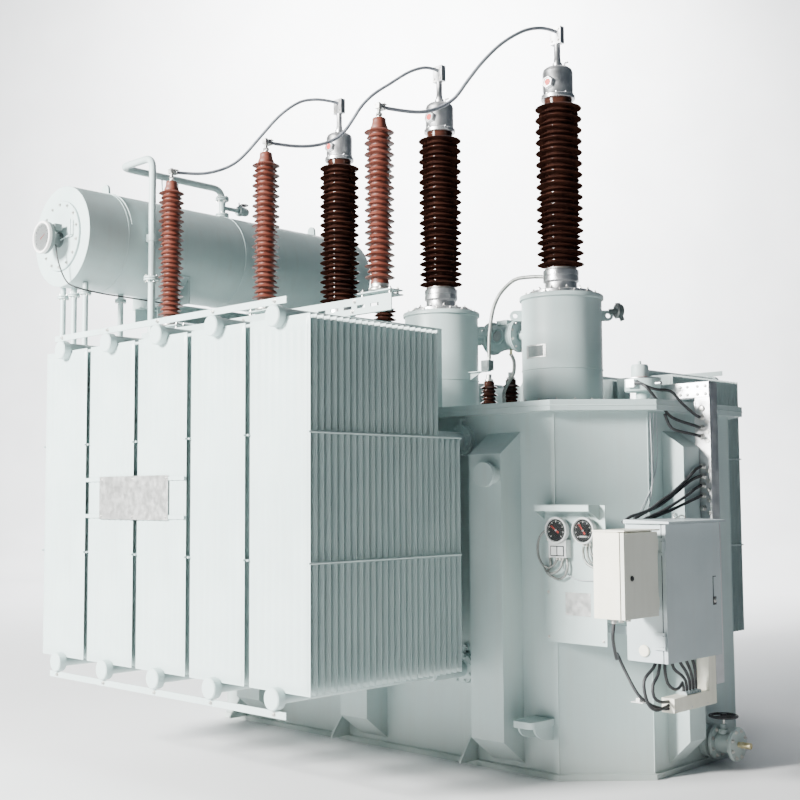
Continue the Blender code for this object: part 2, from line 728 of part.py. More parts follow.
def build_bushings(paint, silver, porcelain, red):
    for i in range(3):
        x = HV_PITCH * (1 - i)
        name = str(i + 1)
        foot = DECK_Z + GAP
        rim_z = TURRET_TOP - TURRET_FLANGE_THICK
        foot_top = foot + TURRET_FLANGE_THICK
        turret = turned("hv_turret_" + name, [
            (0.0, TURRET_TOP), (TURRET_RIM_RADIUS, TURRET_TOP), (TURRET_RIM_RADIUS, rim_z),
            (TURRET_RADIUS, rim_z), (TURRET_RADIUS, foot_top), (TURRET_FOOT_RADIUS, foot_top),
            (TURRET_FOOT_RADIUS, foot), (0.0, foot)], (x, HV_Y, 0.0), paint)
        z = TURRET_TOP - LUG_DROP - LUG_HEIGHT / 2
        combine(turret, [lug("lug", x + side * TURRET_RADIUS, HV_Y, z, side) for side in (-1, 1)])
        low = PORCELAIN_Z + SHED_MARGIN
        shed_points = sheds(CORE_RADIUS, SHED_RADIUS, SHEDS, SHED_PITCH, SHED_THICK, low)
        turned("hv_bushing_" + name, [
            (0.0, PORCELAIN_TOP), (CORE_RADIUS, PORCELAIN_TOP), *shed_points, (CORE_RADIUS, PORCELAIN_Z),
            (RING_RADIUS, PORCELAIN_Z), (RING_RADIUS, PORCELAIN_Z - RING_HEIGHT),
            (NECK_RADIUS, PORCELAIN_Z - RING_HEIGHT), (NECK_RADIUS, COLLAR_Z + COLLAR_THICK),
            (COLLAR_RADIUS, COLLAR_Z + COLLAR_THICK), (COLLAR_RADIUS, COLLAR_Z), (0.0, COLLAR_Z)],
            (x, HV_Y, 0.0), porcelain, SIDES_SHED)
        seat = PORCELAIN_TOP + GAP
        top = seat + HEAD_HEIGHT
        lip = HEAD_RADIUS + HEAD_LIP
        lip_top = seat + HEAD_LIP_HEIGHT
        head = turned("hv_terminal_" + name, [
            (0.0, top + STEM_HEIGHT), (STEM_RADIUS, top + STEM_HEIGHT),
            (STEM_RADIUS, top + HEAD_LIP_HEIGHT / 2), (HEAD_RADIUS * HEAD_TOP_SHARE, top),
            (HEAD_RADIUS, top - HEAD_LIP_HEIGHT), (HEAD_RADIUS, lip_top), (lip, lip_top), (lip, seat),
            (0.0, seat)], (x, HV_Y, 0.0), silver, 12)
        block_low = top + STEM_HEIGHT - OVERLAP
        block = box("clamp", (x - CLAMP_WIDTH / 2, HV_Y - CLAMP_DEPTH / 2, block_low),
                    (x + CLAMP_WIDTH / 2, HV_Y + CLAMP_DEPTH / 2, block_low + CLAMP_HEIGHT))
        eye_z = seat + HEAD_HEIGHT * SIGHT_SHARE
        eye_end = (x, HV_Y - HEAD_RADIUS - SIGHT_REACH, eye_z)
        eye = rod("sight_glass", (x, HV_Y, eye_z), eye_end, SIGHT_RADIUS, 6)
        combine(head, [block, eye])
        ax = ARRESTER_X[i]
        build_arrester("surge_arrester_" + name, ax, red)


def build_arrester(name, x, red):
    low = ARRESTER_Z + ARRESTER_FOOT_HEIGHT
    top = ARRESTER_CAP_Z
    cap = top + ARRESTER_CAP_HEIGHT
    pin = cap + ARRESTER_PIN_HEIGHT
    points = sheds(ARRESTER_CORE, ARRESTER_SHED, ARRESTER_SHEDS, ARRESTER_PITCH, ARRESTER_SHED_THICK,
                   low + ARRESTER_PITCH / 2)
    turned(name, [
        (0.0, pin), (ARRESTER_PIN_RADIUS, pin), (ARRESTER_PIN_RADIUS, cap), (ARRESTER_CAP_RADIUS, cap),
        (ARRESTER_CAP_RADIUS, top), (ARRESTER_CORE, top), *points,
        (ARRESTER_CORE, low), (ARRESTER_FOOT, low), (ARRESTER_FOOT, ARRESTER_Z), (0.0, ARRESTER_Z)],
        (x, ARRESTER_Y, 0.0), red, SIDES_SHED)


def smooth_route(points, step):
    """Points a step apart on a smooth curve through the given points."""
    ends = [points[0] * 2 - points[1], *points, points[-1] * 2 - points[-2]]
    route = []
    for a, b, c, d in zip(ends, ends[1:], ends[2:], ends[3:]):
        count = max(1, round((c - b).length / step))
        for i in range(count):
            t = i / count
            bend = (a * -1 + b * 3 - c * 3 + d) * t ** 3 + (a * 2 - b * 5 + c * 4 - d) * t ** 2 + (c - a) * t
            route.append(b + bend / 2)
    route.append(points[-1])
    return route


def lead_points(start, end, shares):
    """Points between two ends: a share of the way along, then aside and up by shares of the span."""
    span = (end - start).length
    return [start.lerp(end, along) + Vector((aside, 0.0, rise)) * span for along, aside, rise in shares]


def build_leads(black):
    """Jumper leads from the bushings' clamps to the arresters' pins."""
    for i, shares in enumerate(LEAD_SHARES):
        high_y = HV_Y - CLAMP_DEPTH / 2 - GAP
        low_y = ARRESTER_Y + ARRESTER_PIN_RADIUS + GAP
        start = Vector((HV_PITCH * (1 - i), high_y, LEAD_HIGH))
        end = Vector((ARRESTER_X[i], low_y, LEAD_LOW))
        step = Vector((0.0, LEAD_STRAIGHT, 0.0))
        points = [start - step, *lead_points(start, end, shares), end + step]
        route = [start, *smooth_route(points, LEAD_STEP), end]
        tube("jumper_lead_%d" % (i + 1), route, LEAD_RADIUS, black, 2)


def build_beam(paint):
    """A slotted channel on two portal legs that stand on the tank's cover."""
    low_x = BEAM_LOW_X
    y = ARRESTER_Y
    z = BEAM_Z - BEAM_HEIGHT
    outline = [(y - BEAM_DEPTH / 2, z), (y - BEAM_DEPTH / 2 + BEAM_WALL, z),
               (y - BEAM_DEPTH / 2 + BEAM_WALL, BEAM_Z - BEAM_WALL), (y + BEAM_DEPTH / 2, BEAM_Z - BEAM_WALL),
               (y + BEAM_DEPTH / 2, BEAM_Z), (y - BEAM_DEPTH / 2, BEAM_Z)]
    beam = side_plate("arrester_beam", outline, (low_x + BEAM_END_X) / 2, BEAM_END_X - low_x, paint)
    slots = []
    for i in range(SLOTS):
        x = BEAM_END_X - SLOT_INSET - SLOT_PITCH * i
        slot_z = BEAM_Z - SLOT_DROP
        slots.append(box("slot", (x - SLOT_LENGTH / 2, y - BEAM_DEPTH, slot_z - SLOT_HEIGHT / 2),
                         (x + SLOT_LENGTH / 2, y, slot_z + SLOT_HEIGHT / 2)))
    combine(beam, slots, "DIFFERENCE")
    legs = []
    for x in BEAM_LEG_X:
        arm_low = z - BEAM_LEG
        post_y = -WALL_Y + BEAM_LEG
        low_x = x - BEAM_LEG / 2
        high_x = x + BEAM_LEG / 2
        legs.append(box("arm", (low_x, y - BEAM_DEPTH / 2, arm_low), (high_x, post_y, z + BEAM_WALL)))
        legs.append(box("post", (low_x, post_y - BEAM_LEG, DECK_Z + GAP), (high_x, post_y, z)))
    combine(beam, legs)


def build_conservator(paint, dark):
    axis = (DRUM_X, 0.0, DRUM_Z)
    front = -DRUM_FRONT_Y
    back = -DRUM_BACK_Y
    inner = DRUM_RADIUS - DRUM_WALL
    turned("conservator_shell", [(DRUM_RADIUS, front), (DRUM_RADIUS, back), (inner, back), (inner, front)],
           axis, paint, DRUM_SIDES, "-Y", closed=True)
    cover = front + GAP + DRUM_END_THICK + DRUM_COVER_THICK
    turned("conservator_end_front", [
        (0.0, cover), (DRUM_COVER_RADIUS, cover), (DRUM_COVER_RADIUS, cover - DRUM_COVER_THICK),
        (DRUM_RADIUS, cover - DRUM_COVER_THICK), (DRUM_RADIUS, front + GAP), (0.0, front + GAP)],
        axis, paint, DRUM_SIDES, "-Y")
    turned("conservator_end_back", [
        (0.0, back - GAP), (DRUM_RADIUS, back - GAP), (DRUM_RADIUS, back - GAP - DRUM_END_THICK),
        (0.0, back - GAP - DRUM_END_THICK)], axis, paint, DRUM_SIDES, "-Y")
    seat = cover + GAP
    gauge_z = DRUM_Z - GAUGE_DROP
    turned("oil_level_gauge", [
        (0.0, seat + GAUGE_STEM + GAUGE_DEPTH), (GAUGE_RADIUS, seat + GAUGE_STEM + GAUGE_DEPTH),
        (GAUGE_RADIUS, seat + GAUGE_STEM), (GAUGE_STEM_RADIUS, seat + GAUGE_STEM), (GAUGE_STEM_RADIUS, seat),
        (0.0, seat)], (DRUM_X, 0.0, gauge_z), dark, SIDES_ROUND, "-Y")
    build_stand(paint)


def build_stand(paint):
    """Saddles on a bearer under the drum, carried by braced arms on two legs at the tank's end."""
    radius = DRUM_RADIUS + GAP / math.cos(math.pi / DRUM_SIDES)
    foot_z = DRUM_Z - radius - SADDLE_RISE
    arm_z = foot_z - BEARER
    pieces = []
    for y in SADDLE_Y:
        arc = []
        for i in range(-SADDLE_STEPS, SADDLE_STEPS + 1):
            angle = math.tau * i / DRUM_SIDES - math.pi / 2
            arc.append((DRUM_X + radius * math.cos(angle), DRUM_Z + radius * math.sin(angle)))
        outline = arc + [(arc[-1][0], foot_z - OVERLAP), (arc[0][0], foot_z - OVERLAP)]
        pieces.append(front_plate("saddle", outline, y, SADDLE_WIDTH))
    post_x = -END_X + STAND_LEG
    out_x = DRUM_X - RAIL_SPREAD - RAIL_WIDTH
    for y in STAND_Y:
        low_y = y - STAND_LEG / 2
        high_y = y + STAND_LEG / 2
        pieces.append(box("leg", (post_x - STAND_LEG, low_y, DECK_Z + GAP), (post_x, high_y, arm_z)))
        pieces.append(box("arm", (out_x, low_y, arm_z - STAND_LEG), (post_x, high_y, arm_z + OVERLAP)))
        inner = post_x - STAND_LEG + OVERLAP
        brace_z = arm_z - STAND_LEG / 2
        brace = [(inner, STAND_TIE_Z), (inner, STAND_TIE_Z + STAND_LEG), (DRUM_X + STAND_LEG / 2, brace_z),
                 (DRUM_X - STAND_LEG / 2, brace_z)]
        pieces.append(front_plate("brace", brace, y, STAND_LEG / 2))
    tie_x = post_x - STAND_LEG / 2
    pieces.append(box("tie", (tie_x - STAND_WALL, STAND_Y[0], STAND_TIE_Z),
                      (tie_x + STAND_WALL, STAND_Y[1], STAND_TIE_Z + STAND_TIE_HEIGHT)))
    rails = []
    for side in (-1, 1):
        x = DRUM_X + side * RAIL_SPREAD
        rails.append(box("conservator_stand", (x - RAIL_WIDTH / 2, SADDLE_Y[0] - SADDLE_WIDTH, arm_z),
                         (x + RAIL_WIDTH / 2, SADDLE_Y[1] + SADDLE_WIDTH, foot_z), paint))
    rails[0].name = "conservator_stand"
    rails[1].name = "second_rail"
    combine(rails[0], [rails[1]] + pieces)


def build_pipes(paint, silver):
    """The feed pipe with its relay, the vent pipe and the drain pipes."""
    drum_low = DRUM_Z - DRUM_RADIUS - GAP
    route = [(FEED_START_X, FEED_Y, DECK_Z + GAP), (FEED_START_X, FEED_Y, FEED_Z),
             (DRUM_X, FEED_Y, FEED_Z + FEED_RISE), (DRUM_X, FEED_Y, drum_low)]
    feed = tube("feed_pipe", pipe_route(route, VENT_BEND), FEED_RADIUS, paint)
    relay_z = FEED_Z + FEED_RISE * (FEED_START_X - RELAY_X) / (FEED_START_X - DRUM_X)
    half = RELAY_LENGTH / 2
    pieces = [rod("relay", (RELAY_X - half, FEED_Y, relay_z), (RELAY_X + half, FEED_Y, relay_z),
                  RELAY_RADIUS * RELAY_BODY_SHARE, 10)]
    for end in (-1, 1):
        pieces.append(rod("relay_flange", (RELAY_X + end * (half + RELAY_FLANGE), FEED_Y, relay_z),
                          (RELAY_X + end * (half - OVERLAP), FEED_Y, relay_z), RELAY_RADIUS, 10))
    combine(feed, pieces)
    drum_top = DRUM_Z + DRUM_RADIUS + GAP
    vent = [(VENT_X, VENT_Y, VENT_BOTTOM), (VENT_X, VENT_Y, VENT_TOP), (DRUM_X, VENT_Y, VENT_TOP),
            (DRUM_X, VENT_DROP_Y, VENT_TOP), (DRUM_X, VENT_DROP_Y, drum_top)]
    pipe = tube("vent_pipe", pipe_route(vent, VENT_BEND), VENT_RADIUS, paint)
    flange = rod("vent_flange", (DRUM_X, VENT_DROP_Y, drum_top),
                 (DRUM_X, VENT_DROP_Y, drum_top + FLANGE_THICK), CAP_RADIUS, 10)
    side_x = DRUM_X + DRUM_RADIUS + GAP
    clip = box("clip", (side_x, VENT_Y - VENT_RADIUS, DRUM_Z - VENT_RADIUS),
               (VENT_X, VENT_Y + VENT_RADIUS, DRUM_Z + VENT_RADIUS))
    combine(pipe, [flange, clip])
    row_y, far_y = (DRUM_FRONT_Y + inset for inset in DRAIN_INSETS)
    collar_z = drum_low - DRAIN_COLLAR_DROP
    spots = [(-DRAIN_SPREAD, row_y), (0.0, row_y), (DRAIN_SPREAD, row_y), (0.0, far_y)]
    for i, (aside, y) in enumerate(spots):
        x = DRUM_X + aside
        inner = max(abs(aside) - DRAIN_PIPE_RADIUS, 0.0)
        top = DRUM_Z - math.sqrt(DRUM_RADIUS ** 2 - inner ** 2) - GAP
        drain = rod("conservator_drain_%d" % (i + 1), (x, y, top), (x, y, DRAIN_PIPE_BOTTOM),
                    DRAIN_PIPE_RADIUS, SIDES_PIPE, paint)
        flanges = []
        for z in (collar_z, DRAIN_PIPE_BOTTOM + DRAIN_FLANGE_THICK):
            flanges.append(rod("drain_flange", (x, y, z), (x, y, z - DRAIN_FLANGE_THICK),
                               DRAIN_FLANGE_RADIUS, SIDES_SHED))
        combine(drain, flanges)


def build_deck(paint, silver, porcelain):
    foot = DECK_Z + GAP
    foot_top = foot + PRV_FOOT_THICK
    drum_low = foot + PRV_NECK_HEIGHT
    drum_top = drum_low + PRV_DRUM_HEIGHT
    cap_top = drum_top + PRV_CAP_HEIGHT
    turned("pressure_relief_valve", [
        (0.0, cap_top), (PRV_CAP_RADIUS, cap_top), (PRV_CAP_RADIUS, drum_top), (PRV_DRUM_RADIUS, drum_top),
        (PRV_DRUM_RADIUS, drum_low), (PRV_NECK_RADIUS, drum_low), (PRV_NECK_RADIUS, foot_top),
        (PRV_FOOT_RADIUS, foot_top), (PRV_FOOT_RADIUS, foot), (0.0, foot)], (PRV_X, PRV_Y, 0.0), paint, 12)
    low_x = END_X + RIM_OVERHANG + TRUNK_CLEAR + GAP
    half = TRUNK_SIZE / 2
    near = TRUNK_Y - half
    far = TRUNK_Y + half
    trunk = box("cable_trunk", (low_x, near, TRUNK_BOTTOM), (low_x + TRUNK_SIZE, far, TRUNK_TOP), silver)
    arm = box("arm", (TRUNK_ARM_X, near, TRUNK_TOP - TRUNK_SIZE), (low_x + OVERLAP, far, TRUNK_TOP))
    foot_block = box("arm_foot", (TRUNK_ARM_X, near, foot), (TRUNK_ARM_X + half, far, TRUNK_TOP - half))
    stay_z = TRUNK_BOTTOM + TRUNK_SIZE
    stay = box("stay", (END_X + GAP, near, stay_z), (low_x + OVERLAP, far, stay_z + half))
    combine(trunk, [arm, foot_block, stay])
    low = LV_X[-1] - LV_BOX_MARGIN
    high = LV_X[0] + LV_BOX_MARGIN
    top = foot + LV_BOX_HEIGHT
    lv = box("lv_bushing_group", (low, LV_Y - LV_BOX_DEPTH / 2, foot), (high, LV_Y + LV_BOX_DEPTH / 2, top),
             porcelain)
    columns = []
    for x in LV_X:
        z = top + LV_PITCH / 2
        points = sheds(LV_CORE, LV_SHED, LV_SHEDS, LV_PITCH, SHED_THICK, z)
        head = z + LV_PITCH * LV_SHEDS
        columns.append(turned("lv_column", [
            (0.0, head + LV_PITCH), (LV_CORE / 2, head + LV_PITCH), (LV_CORE / 2, head), (LV_CORE, head),
            *points, (LV_CORE, top - OVERLAP), (0.0, top - OVERLAP)], (x, LV_Y, 0.0), None, SIDES_PIPE))
    combine(lv, columns)
    shoulder = foot + NEUTRAL_TURRET_HEIGHT
    first = shoulder + NEUTRAL_PITCH
    points = sheds(NEUTRAL_CORE, NEUTRAL_SHED, NEUTRAL_SHEDS, NEUTRAL_PITCH, SHED_THICK, first)
    head = first + NEUTRAL_PITCH * (NEUTRAL_SHEDS + 1)
    stem_top = head + NEUTRAL_PITCH
    flange_top = foot + TURRET_FLANGE_THICK
    flange = NEUTRAL_TURRET * NEUTRAL_FOOT_SHARE
    turned("neutral_bushing", [
        (0.0, stem_top), (STEM_RADIUS, stem_top), (STEM_RADIUS, head), (NEUTRAL_CORE, head), *points,
        (NEUTRAL_CORE, shoulder), (NEUTRAL_TURRET, shoulder), (NEUTRAL_TURRET, flange_top),
        (flange, flange_top), (flange, foot), (0.0, foot)],
        (NEUTRAL_X, NEUTRAL_Y, 0.0), porcelain, SIDES_SHED)


def hollow(name, low, high, paint):
    """A sheet-metal box that is open at its +X side."""
    outer = box(name, low, high, paint)
    inside = box("inside", [v + SHEET for v in low], (high[0] + SHEET, high[1] - SHEET, high[2] - SHEET))
    combine(outer, [inside], "DIFFERENCE")
    return outer


def two_levels(low, high, share=HINGE_SHARE):
    """Two heights, the same share in from either end of a range."""
    span = high - low
    return (low + span * share, high - span * share)


def build_door(name, x, y_range, z_range, hinge_side, paint):
    """A flat door over the +X opening, with two knuckles on its hinge line."""
    low = (x, y_range[0], z_range[0])
    high = (x + DOOR_THICK, y_range[1], z_range[1])
    door = box(name, low, high, paint)
    edge = y_range[0] if hinge_side < 0 else y_range[1]
    line_y = edge + hinge_side * HINGE_OUT
    line_x = x + DOOR_THICK / 2
    knuckles = []
    for z in two_levels(*z_range):
        low_z = z - HINGE_HEIGHT / 2
        high_z = z + HINGE_HEIGHT / 2
        knuckles.append(rod("knuckle", (line_x, line_y, low_z), (line_x, line_y, high_z), HINGE_RADIUS))
        web = sorted((line_y, edge - hinge_side * OVERLAP))
        trim = SHEET / 2
        knuckles.append(box("web", (line_x - HINGE_RADIUS / 2, web[0], low_z + trim),
                            (line_x + HINGE_RADIUS / 2, web[1], high_z - trim)))
    combine(door, knuckles)
    handle_y = y_range[1] if hinge_side < 0 else y_range[0]
    grip_y = handle_y + hinge_side * BRACKET
    middle = (z_range[0] + z_range[1]) / 2
    grip = box("grip", (x + DOOR_THICK - OVERLAP, grip_y - OVERLAP, middle - BRACKET),
               (x + DOOR_THICK + OVERLAP, grip_y + OVERLAP, middle + BRACKET))
    combine(door, [grip])
    return door


def hinge_ears(x, edge, hinge_side, z_range):
    """Bearings on the box, above and below each knuckle, on straps that clear the door's swing."""
    ears = []
    line_y = edge + hinge_side * HINGE_OUT
    line_x = x + DOOR_CLEAR + DOOR_THICK / 2
    outer = line_y + hinge_side * EAR_RADIUS * STRAP_SHARE
    strap = sorted((line_y + hinge_side * EAR_RADIUS / 3, outer))
    pad = sorted((edge - hinge_side * SHEET / 2, outer))
    for z in two_levels(*z_range):
        for side in (-1, 1):
            start = z + side * (HINGE_HEIGHT / 2 + EAR_CLEAR)
            low, high = sorted((start, start + side * HINGE_HEIGHT / 3))
            ears.append(rod("bearing", (line_x, line_y, low), (line_x, line_y, high), EAR_RADIUS))
            trim = (high - low) / 8
            ears.append(box("strap", (x - BRACKET, strap[0], low + trim), (line_x, strap[1], high - trim)))
            ears.append(box("pad", (x - BRACKET, pad[0], low + trim), (x - SHEET / 2, pad[1], high - trim)))
    return ears


def build_cabinets(paint, grey, cream):
    back = CAB_X[0]
    cabinet = hollow("control_cabinet", (back, CAB_Y[0], CAB_Z[0]), (CAB_X[1], CAB_Y[1], CAB_Z[1]), grey)
    lid = box("lid", (back, CAB_Y[0] - LID_OVERHANG, CAB_Z[1] - SHEET / 2),
              (CAB_X[1] + DOOR_THICK + LID_OVERHANG * 2, CAB_Y[1] + LID_OVERHANG, CAB_Z[1] + LID_OVERHANG))
    top_clear = CAB_Z[1] - DOOR_CLEAR
    rails = []
    for z in two_levels(*CAB_Z):
        seat_x = back + SHEET / 2
        stay_y = CAB_Y[1] - SHEET
        rails.append(box("stay", (END_X + GAP, stay_y - BRACKET, z), (seat_x, stay_y, z + BRACKET)))
        near_y = CAB_Y[0] + BRACKET * 3
        far_y = near_y + BRACKET
        plan = [(seat_x, near_y), (seat_x, far_y), (chamfer_x(far_y) + GAP * 2, far_y),
                (chamfer_x(near_y) + GAP * 2, near_y)]
        rails.append(plate("stay", plan, BRACKET, (0.0, 0.0, z + BRACKET / 2)))
    door_z = (CAB_Z[0], top_clear)
    combine(cabinet, [lid] + rails + hinge_ears(CAB_X[1], CAB_Y[0], -1, door_z))
    build_door("control_cabinet_door", CAB_X[1] + DOOR_CLEAR, CAB_Y, door_z, -1, grey)

    small = hollow("junction_box", (BOX_X[0], BOX_Y[0], BOX_Z[0]), (BOX_X[1], BOX_Y[1], BOX_Z[1]), cream)
    feet = []
    for z in two_levels(*BOX_Z):
        feet.append(box("foot", (BOX_X[0], BOX_Y[1] - SHEET / 2, z - BRACKET / 2),
                        (BOX_X[0] + BRACKET, CAB_Y[0] - GAP, z + BRACKET / 2)))
    combine(small, feet + hinge_ears(BOX_X[1], BOX_Y[1], 1, BOX_Z))
    build_door("junction_box_door", BOX_X[1] + DOOR_CLEAR, BOX_Y, BOX_Z, 1, paint)


def chamfer_x(y):
    """X of the tank's front right chamfer at a given y."""
    return END_X - TANK_CHAMFER + (WALL_Y + y)


def build_instruments(paint, cream, dark):
    """The instrument panel with its visor and dials, and the cable tray under the cabinet."""
    outline = [(INST_X[0], INST_Z[0]), (INST_X[1], INST_Z[0]), (INST_X[1], INST_Z[1]), (INST_X[0], INST_Z[1])]
    panel = front_plate("instrument_panel", outline, PANEL_Y, INST_THICK, paint)
    face = PANEL_Y - INST_THICK / 2
    lip_y = face - VISOR_REACH
    top = INST_Z[1]
    pieces = [box("visor", (INST_X[0], lip_y, top - SHEET), (VISOR_END_X, PANEL_Y, top + SHEET)),
              box("visor_lip", (INST_X[0], lip_y, top - VISOR_LIP), (VISOR_END_X, lip_y + SHEET, top))]
    for z in two_levels(*INST_Z, STAY_SHARE):
        for x in (INST_X[0] + BRACKET * 2, INST_X[0] + BRACKET * 6):
            end_y = -WALL_Y + (x - (END_X - TANK_CHAMFER))
            back_x = x - BRACKET
            plan = [(x, PANEL_Y), (x, end_y - GAP * 2), (back_x, end_y - BRACKET - GAP * 2),
                    (back_x, PANEL_Y)]
            pieces.append(plate("stay", plan, BRACKET, (0.0, 0.0, z)))
    combine(panel, pieces)
    seat = -face + GAP
    neck = DIAL_RADIUS * DIAL_NECK_SHARE
    front = seat + DIAL_DEPTH
    middle = seat + DIAL_DEPTH / 2
    for i, x in enumerate(DIAL_X):
        turned("dial_thermometer_%d" % (i + 1), [
            (0.0, front), (DIAL_RADIUS, front), (DIAL_RADIUS, middle), (neck, middle), (neck, seat),
            (0.0, seat)], (x, 0.0, DIAL_Z), dark, SIDES_ROUND, "-Y")
    low_x = CAB_X[0] + TRAY_SHIFT
    high_x = low_x + TRAY_SIZE
    high_y = CAB_Y[1] + TRAY_PAST
    duct_y = high_y - TRAY_SIZE
    top = CAB_Z[0] + TRAY_RISE
    tray = box("cable_tray", (low_x, high_y - TRAY_LENGTH, TRAY_Z), (high_x, high_y, TRAY_Z + TRAY_SIZE),
               cream)
    duct = box("duct", (low_x, duct_y, TRAY_Z), (high_x, high_y, top))
    elbow_part = box("elbow", (low_x, CAB_Y[1] + GAP, top - TRAY_SIZE), (high_x, high_y, top))
    combine(tray, [duct, elbow_part])


def build_valve(paint, dark):
    """The drain valve on the tank's end wall, and its handwheel."""
    start = END_X + GAP
    end = END_X + VALVE_REACH
    body = rod("drain_valve", (start, VALVE_Y, VALVE_Z), (end, VALVE_Y, VALVE_Z), VALVE_PIPE, 10, paint)
    thick = VALVE_FLANGE_THICK
    stem_x = start + VALVE_REACH * VALVE_STEM_SHARE
    plug_end = (end + VALVE_PLUG, VALVE_Y, VALVE_Z)
    pieces = [rod("plug", (end - OVERLAP, VALVE_Y, VALVE_Z), plug_end, HUB_RADIUS, SIDES_SHED)]
    for x in (start, start + VALVE_REACH * VALVE_NECK_SHARE, end - thick):
        pieces.append(rod("flange", (x, VALVE_Y, VALVE_Z), (x + thick, VALVE_Y, VALVE_Z), VALVE_FLANGE, 12))
    top = VALVE_Z + VALVE_BONNET_HEIGHT
    pieces.append(rod("bonnet", (stem_x, VALVE_Y, VALVE_Z), (stem_x, VALVE_Y, top), VALVE_BONNET_RADIUS, 8))
    pin_top = (stem_x, VALVE_Y, top + WHEEL_RISE)
    pieces.append(rod("stem", (stem_x, VALVE_Y, top - OVERLAP), pin_top, STEM_PIN, 8))
    combine(body, pieces)
    low = top + WHEEL_RISE + GAP
    hub_top = (stem_x, VALVE_Y, low + HUB_HEIGHT)
    wheel = rod("drain_valve_handwheel", (stem_x, VALVE_Y, low), hub_top, HUB_RADIUS, 10, dark)
    rim_z = low + HUB_HEIGHT / 2
    ring = turned("rim", [(WHEEL_RADIUS, rim_z + WHEEL_RIM), (WHEEL_RADIUS + WHEEL_RIM, rim_z),
                          (WHEEL_RADIUS, rim_z - WHEEL_RIM), (WHEEL_RADIUS - WHEEL_RIM, rim_z)],
                  (stem_x, VALVE_Y, 0.0), None, SIDES_ROUND, closed=True)
    spokes = [ring]
    for i in range(WHEEL_SPOKES):
        angle = math.tau * i / WHEEL_SPOKES + math.radians(SPOKE_TURN)
        out_x = WHEEL_RADIUS * math.cos(angle)
        out_y = WHEEL_RADIUS * math.sin(angle)
        tip = (stem_x + out_x, VALVE_Y + out_y, rim_z)
        spokes.append(rod("spoke", (stem_x, VALVE_Y, rim_z), tip, WHEEL_RIM * SPOKE_SHARE, 6))
    combine(wheel, spokes)


def main():
    clear_scene()
    paint = finish("tank_paint", (0.55, 0.63, 0.62), 0.42)
    grey = finish("cabinet_paint", (0.40, 0.47, 0.55), 0.45)
    cream = finish("cream_paint", (0.74, 0.73, 0.66), 0.45)
    silver = finish("aluminium", (0.72, 0.73, 0.74), 0.32, 1.0)
    porcelain = finish("brown_porcelain", (0.08, 0.03, 0.025), 0.12)
    red = finish("red_silicone", (0.42, 0.10, 0.06), 0.5)
    dark = finish("instrument_black", (0.03, 0.03, 0.035), 0.35)
    build_tank(paint)
    build_radiators(paint)
    build_bushings(paint, silver, porcelain, red)
    build_leads(dark)
    build_beam(paint)
    build_conservator(paint, dark)
    build_pipes(paint, silver)
    build_deck(paint, silver, porcelain)
    build_cabinets(paint, grey, cream)
    build_instruments(paint, cream, dark)
    build_valve(paint, dark)
    bpy.context.view_layer.update()


main()
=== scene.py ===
import random
from math import cos, pi, radians, sin, sqrt, tau

import bmesh
import bpy
from mathutils import Matrix, Vector


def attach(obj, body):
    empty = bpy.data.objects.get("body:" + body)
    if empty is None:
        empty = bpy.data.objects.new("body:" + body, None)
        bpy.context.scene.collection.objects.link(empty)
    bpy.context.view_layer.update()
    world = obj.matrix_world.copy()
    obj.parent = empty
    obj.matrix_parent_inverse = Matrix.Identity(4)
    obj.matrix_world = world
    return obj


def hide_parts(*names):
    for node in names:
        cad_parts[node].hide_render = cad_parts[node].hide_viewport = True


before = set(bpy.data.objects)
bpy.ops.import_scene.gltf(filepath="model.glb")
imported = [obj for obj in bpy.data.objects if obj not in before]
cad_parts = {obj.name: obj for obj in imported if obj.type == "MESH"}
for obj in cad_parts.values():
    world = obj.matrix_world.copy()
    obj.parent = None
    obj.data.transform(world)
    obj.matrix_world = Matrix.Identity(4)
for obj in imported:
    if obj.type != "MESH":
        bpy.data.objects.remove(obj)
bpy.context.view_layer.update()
dice = random.Random(7)
root = "transformer"
toTop, toFront, toBack, toEnd = (0, 0, 1), (0, -1, 0), (0, 1, 0), (1, 0, 0)


# Shapes are lists of points and faces, gathered in a form and turned into one mesh.
def newForm():
    return {"points": [], "faces": [], "marks": [], "mark": 0}


def addFaces(form, points, faces):
    base = len(form["points"])
    form["points"] += [tuple(point) for point in points]
    form["faces"] += [[base + i for i in face] for face in faces]
    form["marks"] += [form["mark"]] * len(faces)


def addPrism(form, loop, shift):
    loop = [Vector(point) for point in loop]
    count = len(loop)
    points = loop + [point + Vector(shift) for point in loop]
    faces = [list(range(count))[::-1], list(range(count, 2 * count))]
    faces += [(i, (i + 1) % count, (i + 1) % count + count, i + count) for i in range(count)]
    addFaces(form, points, faces)


def addBox(form, low, high):
    x, y, z = low
    loop = [(x, y, z), (high[0], y, z), (high[0], high[1], z), (x, high[1], z)]
    addPrism(form, loop, (0, 0, high[2] - z))


def addLathe(form, profile, place, axis=toTop, sides=32, turn=0.0, closed=False):
    aim = Vector(axis).to_track_quat("Z", "Y")
    place = Vector(place)
    points = []
    rings = []
    for radius, height in profile:
        count = 1 if radius < 0.00001 else sides
        rings.append([len(points) + i for i in range(count)])
        for i in range(count):
            angle = turn + tau * i / sides
            points.append(place + aim @ Vector((radius * cos(angle), radius * sin(angle), height)))
    faces = []
    pairs = list(zip(rings, rings[1:]))
    if closed:
        pairs.append((rings[-1], rings[0]))
    for low, high in pairs:
        for i in range(sides):
            j = (i + 1) % sides
            corners = [low[i % len(low)], low[j % len(low)], high[j % len(high)], high[i % len(high)]]
            kept = list(dict.fromkeys(corners))
            if len(kept) > 2:
                faces.append(kept)
    addFaces(form, points, faces)


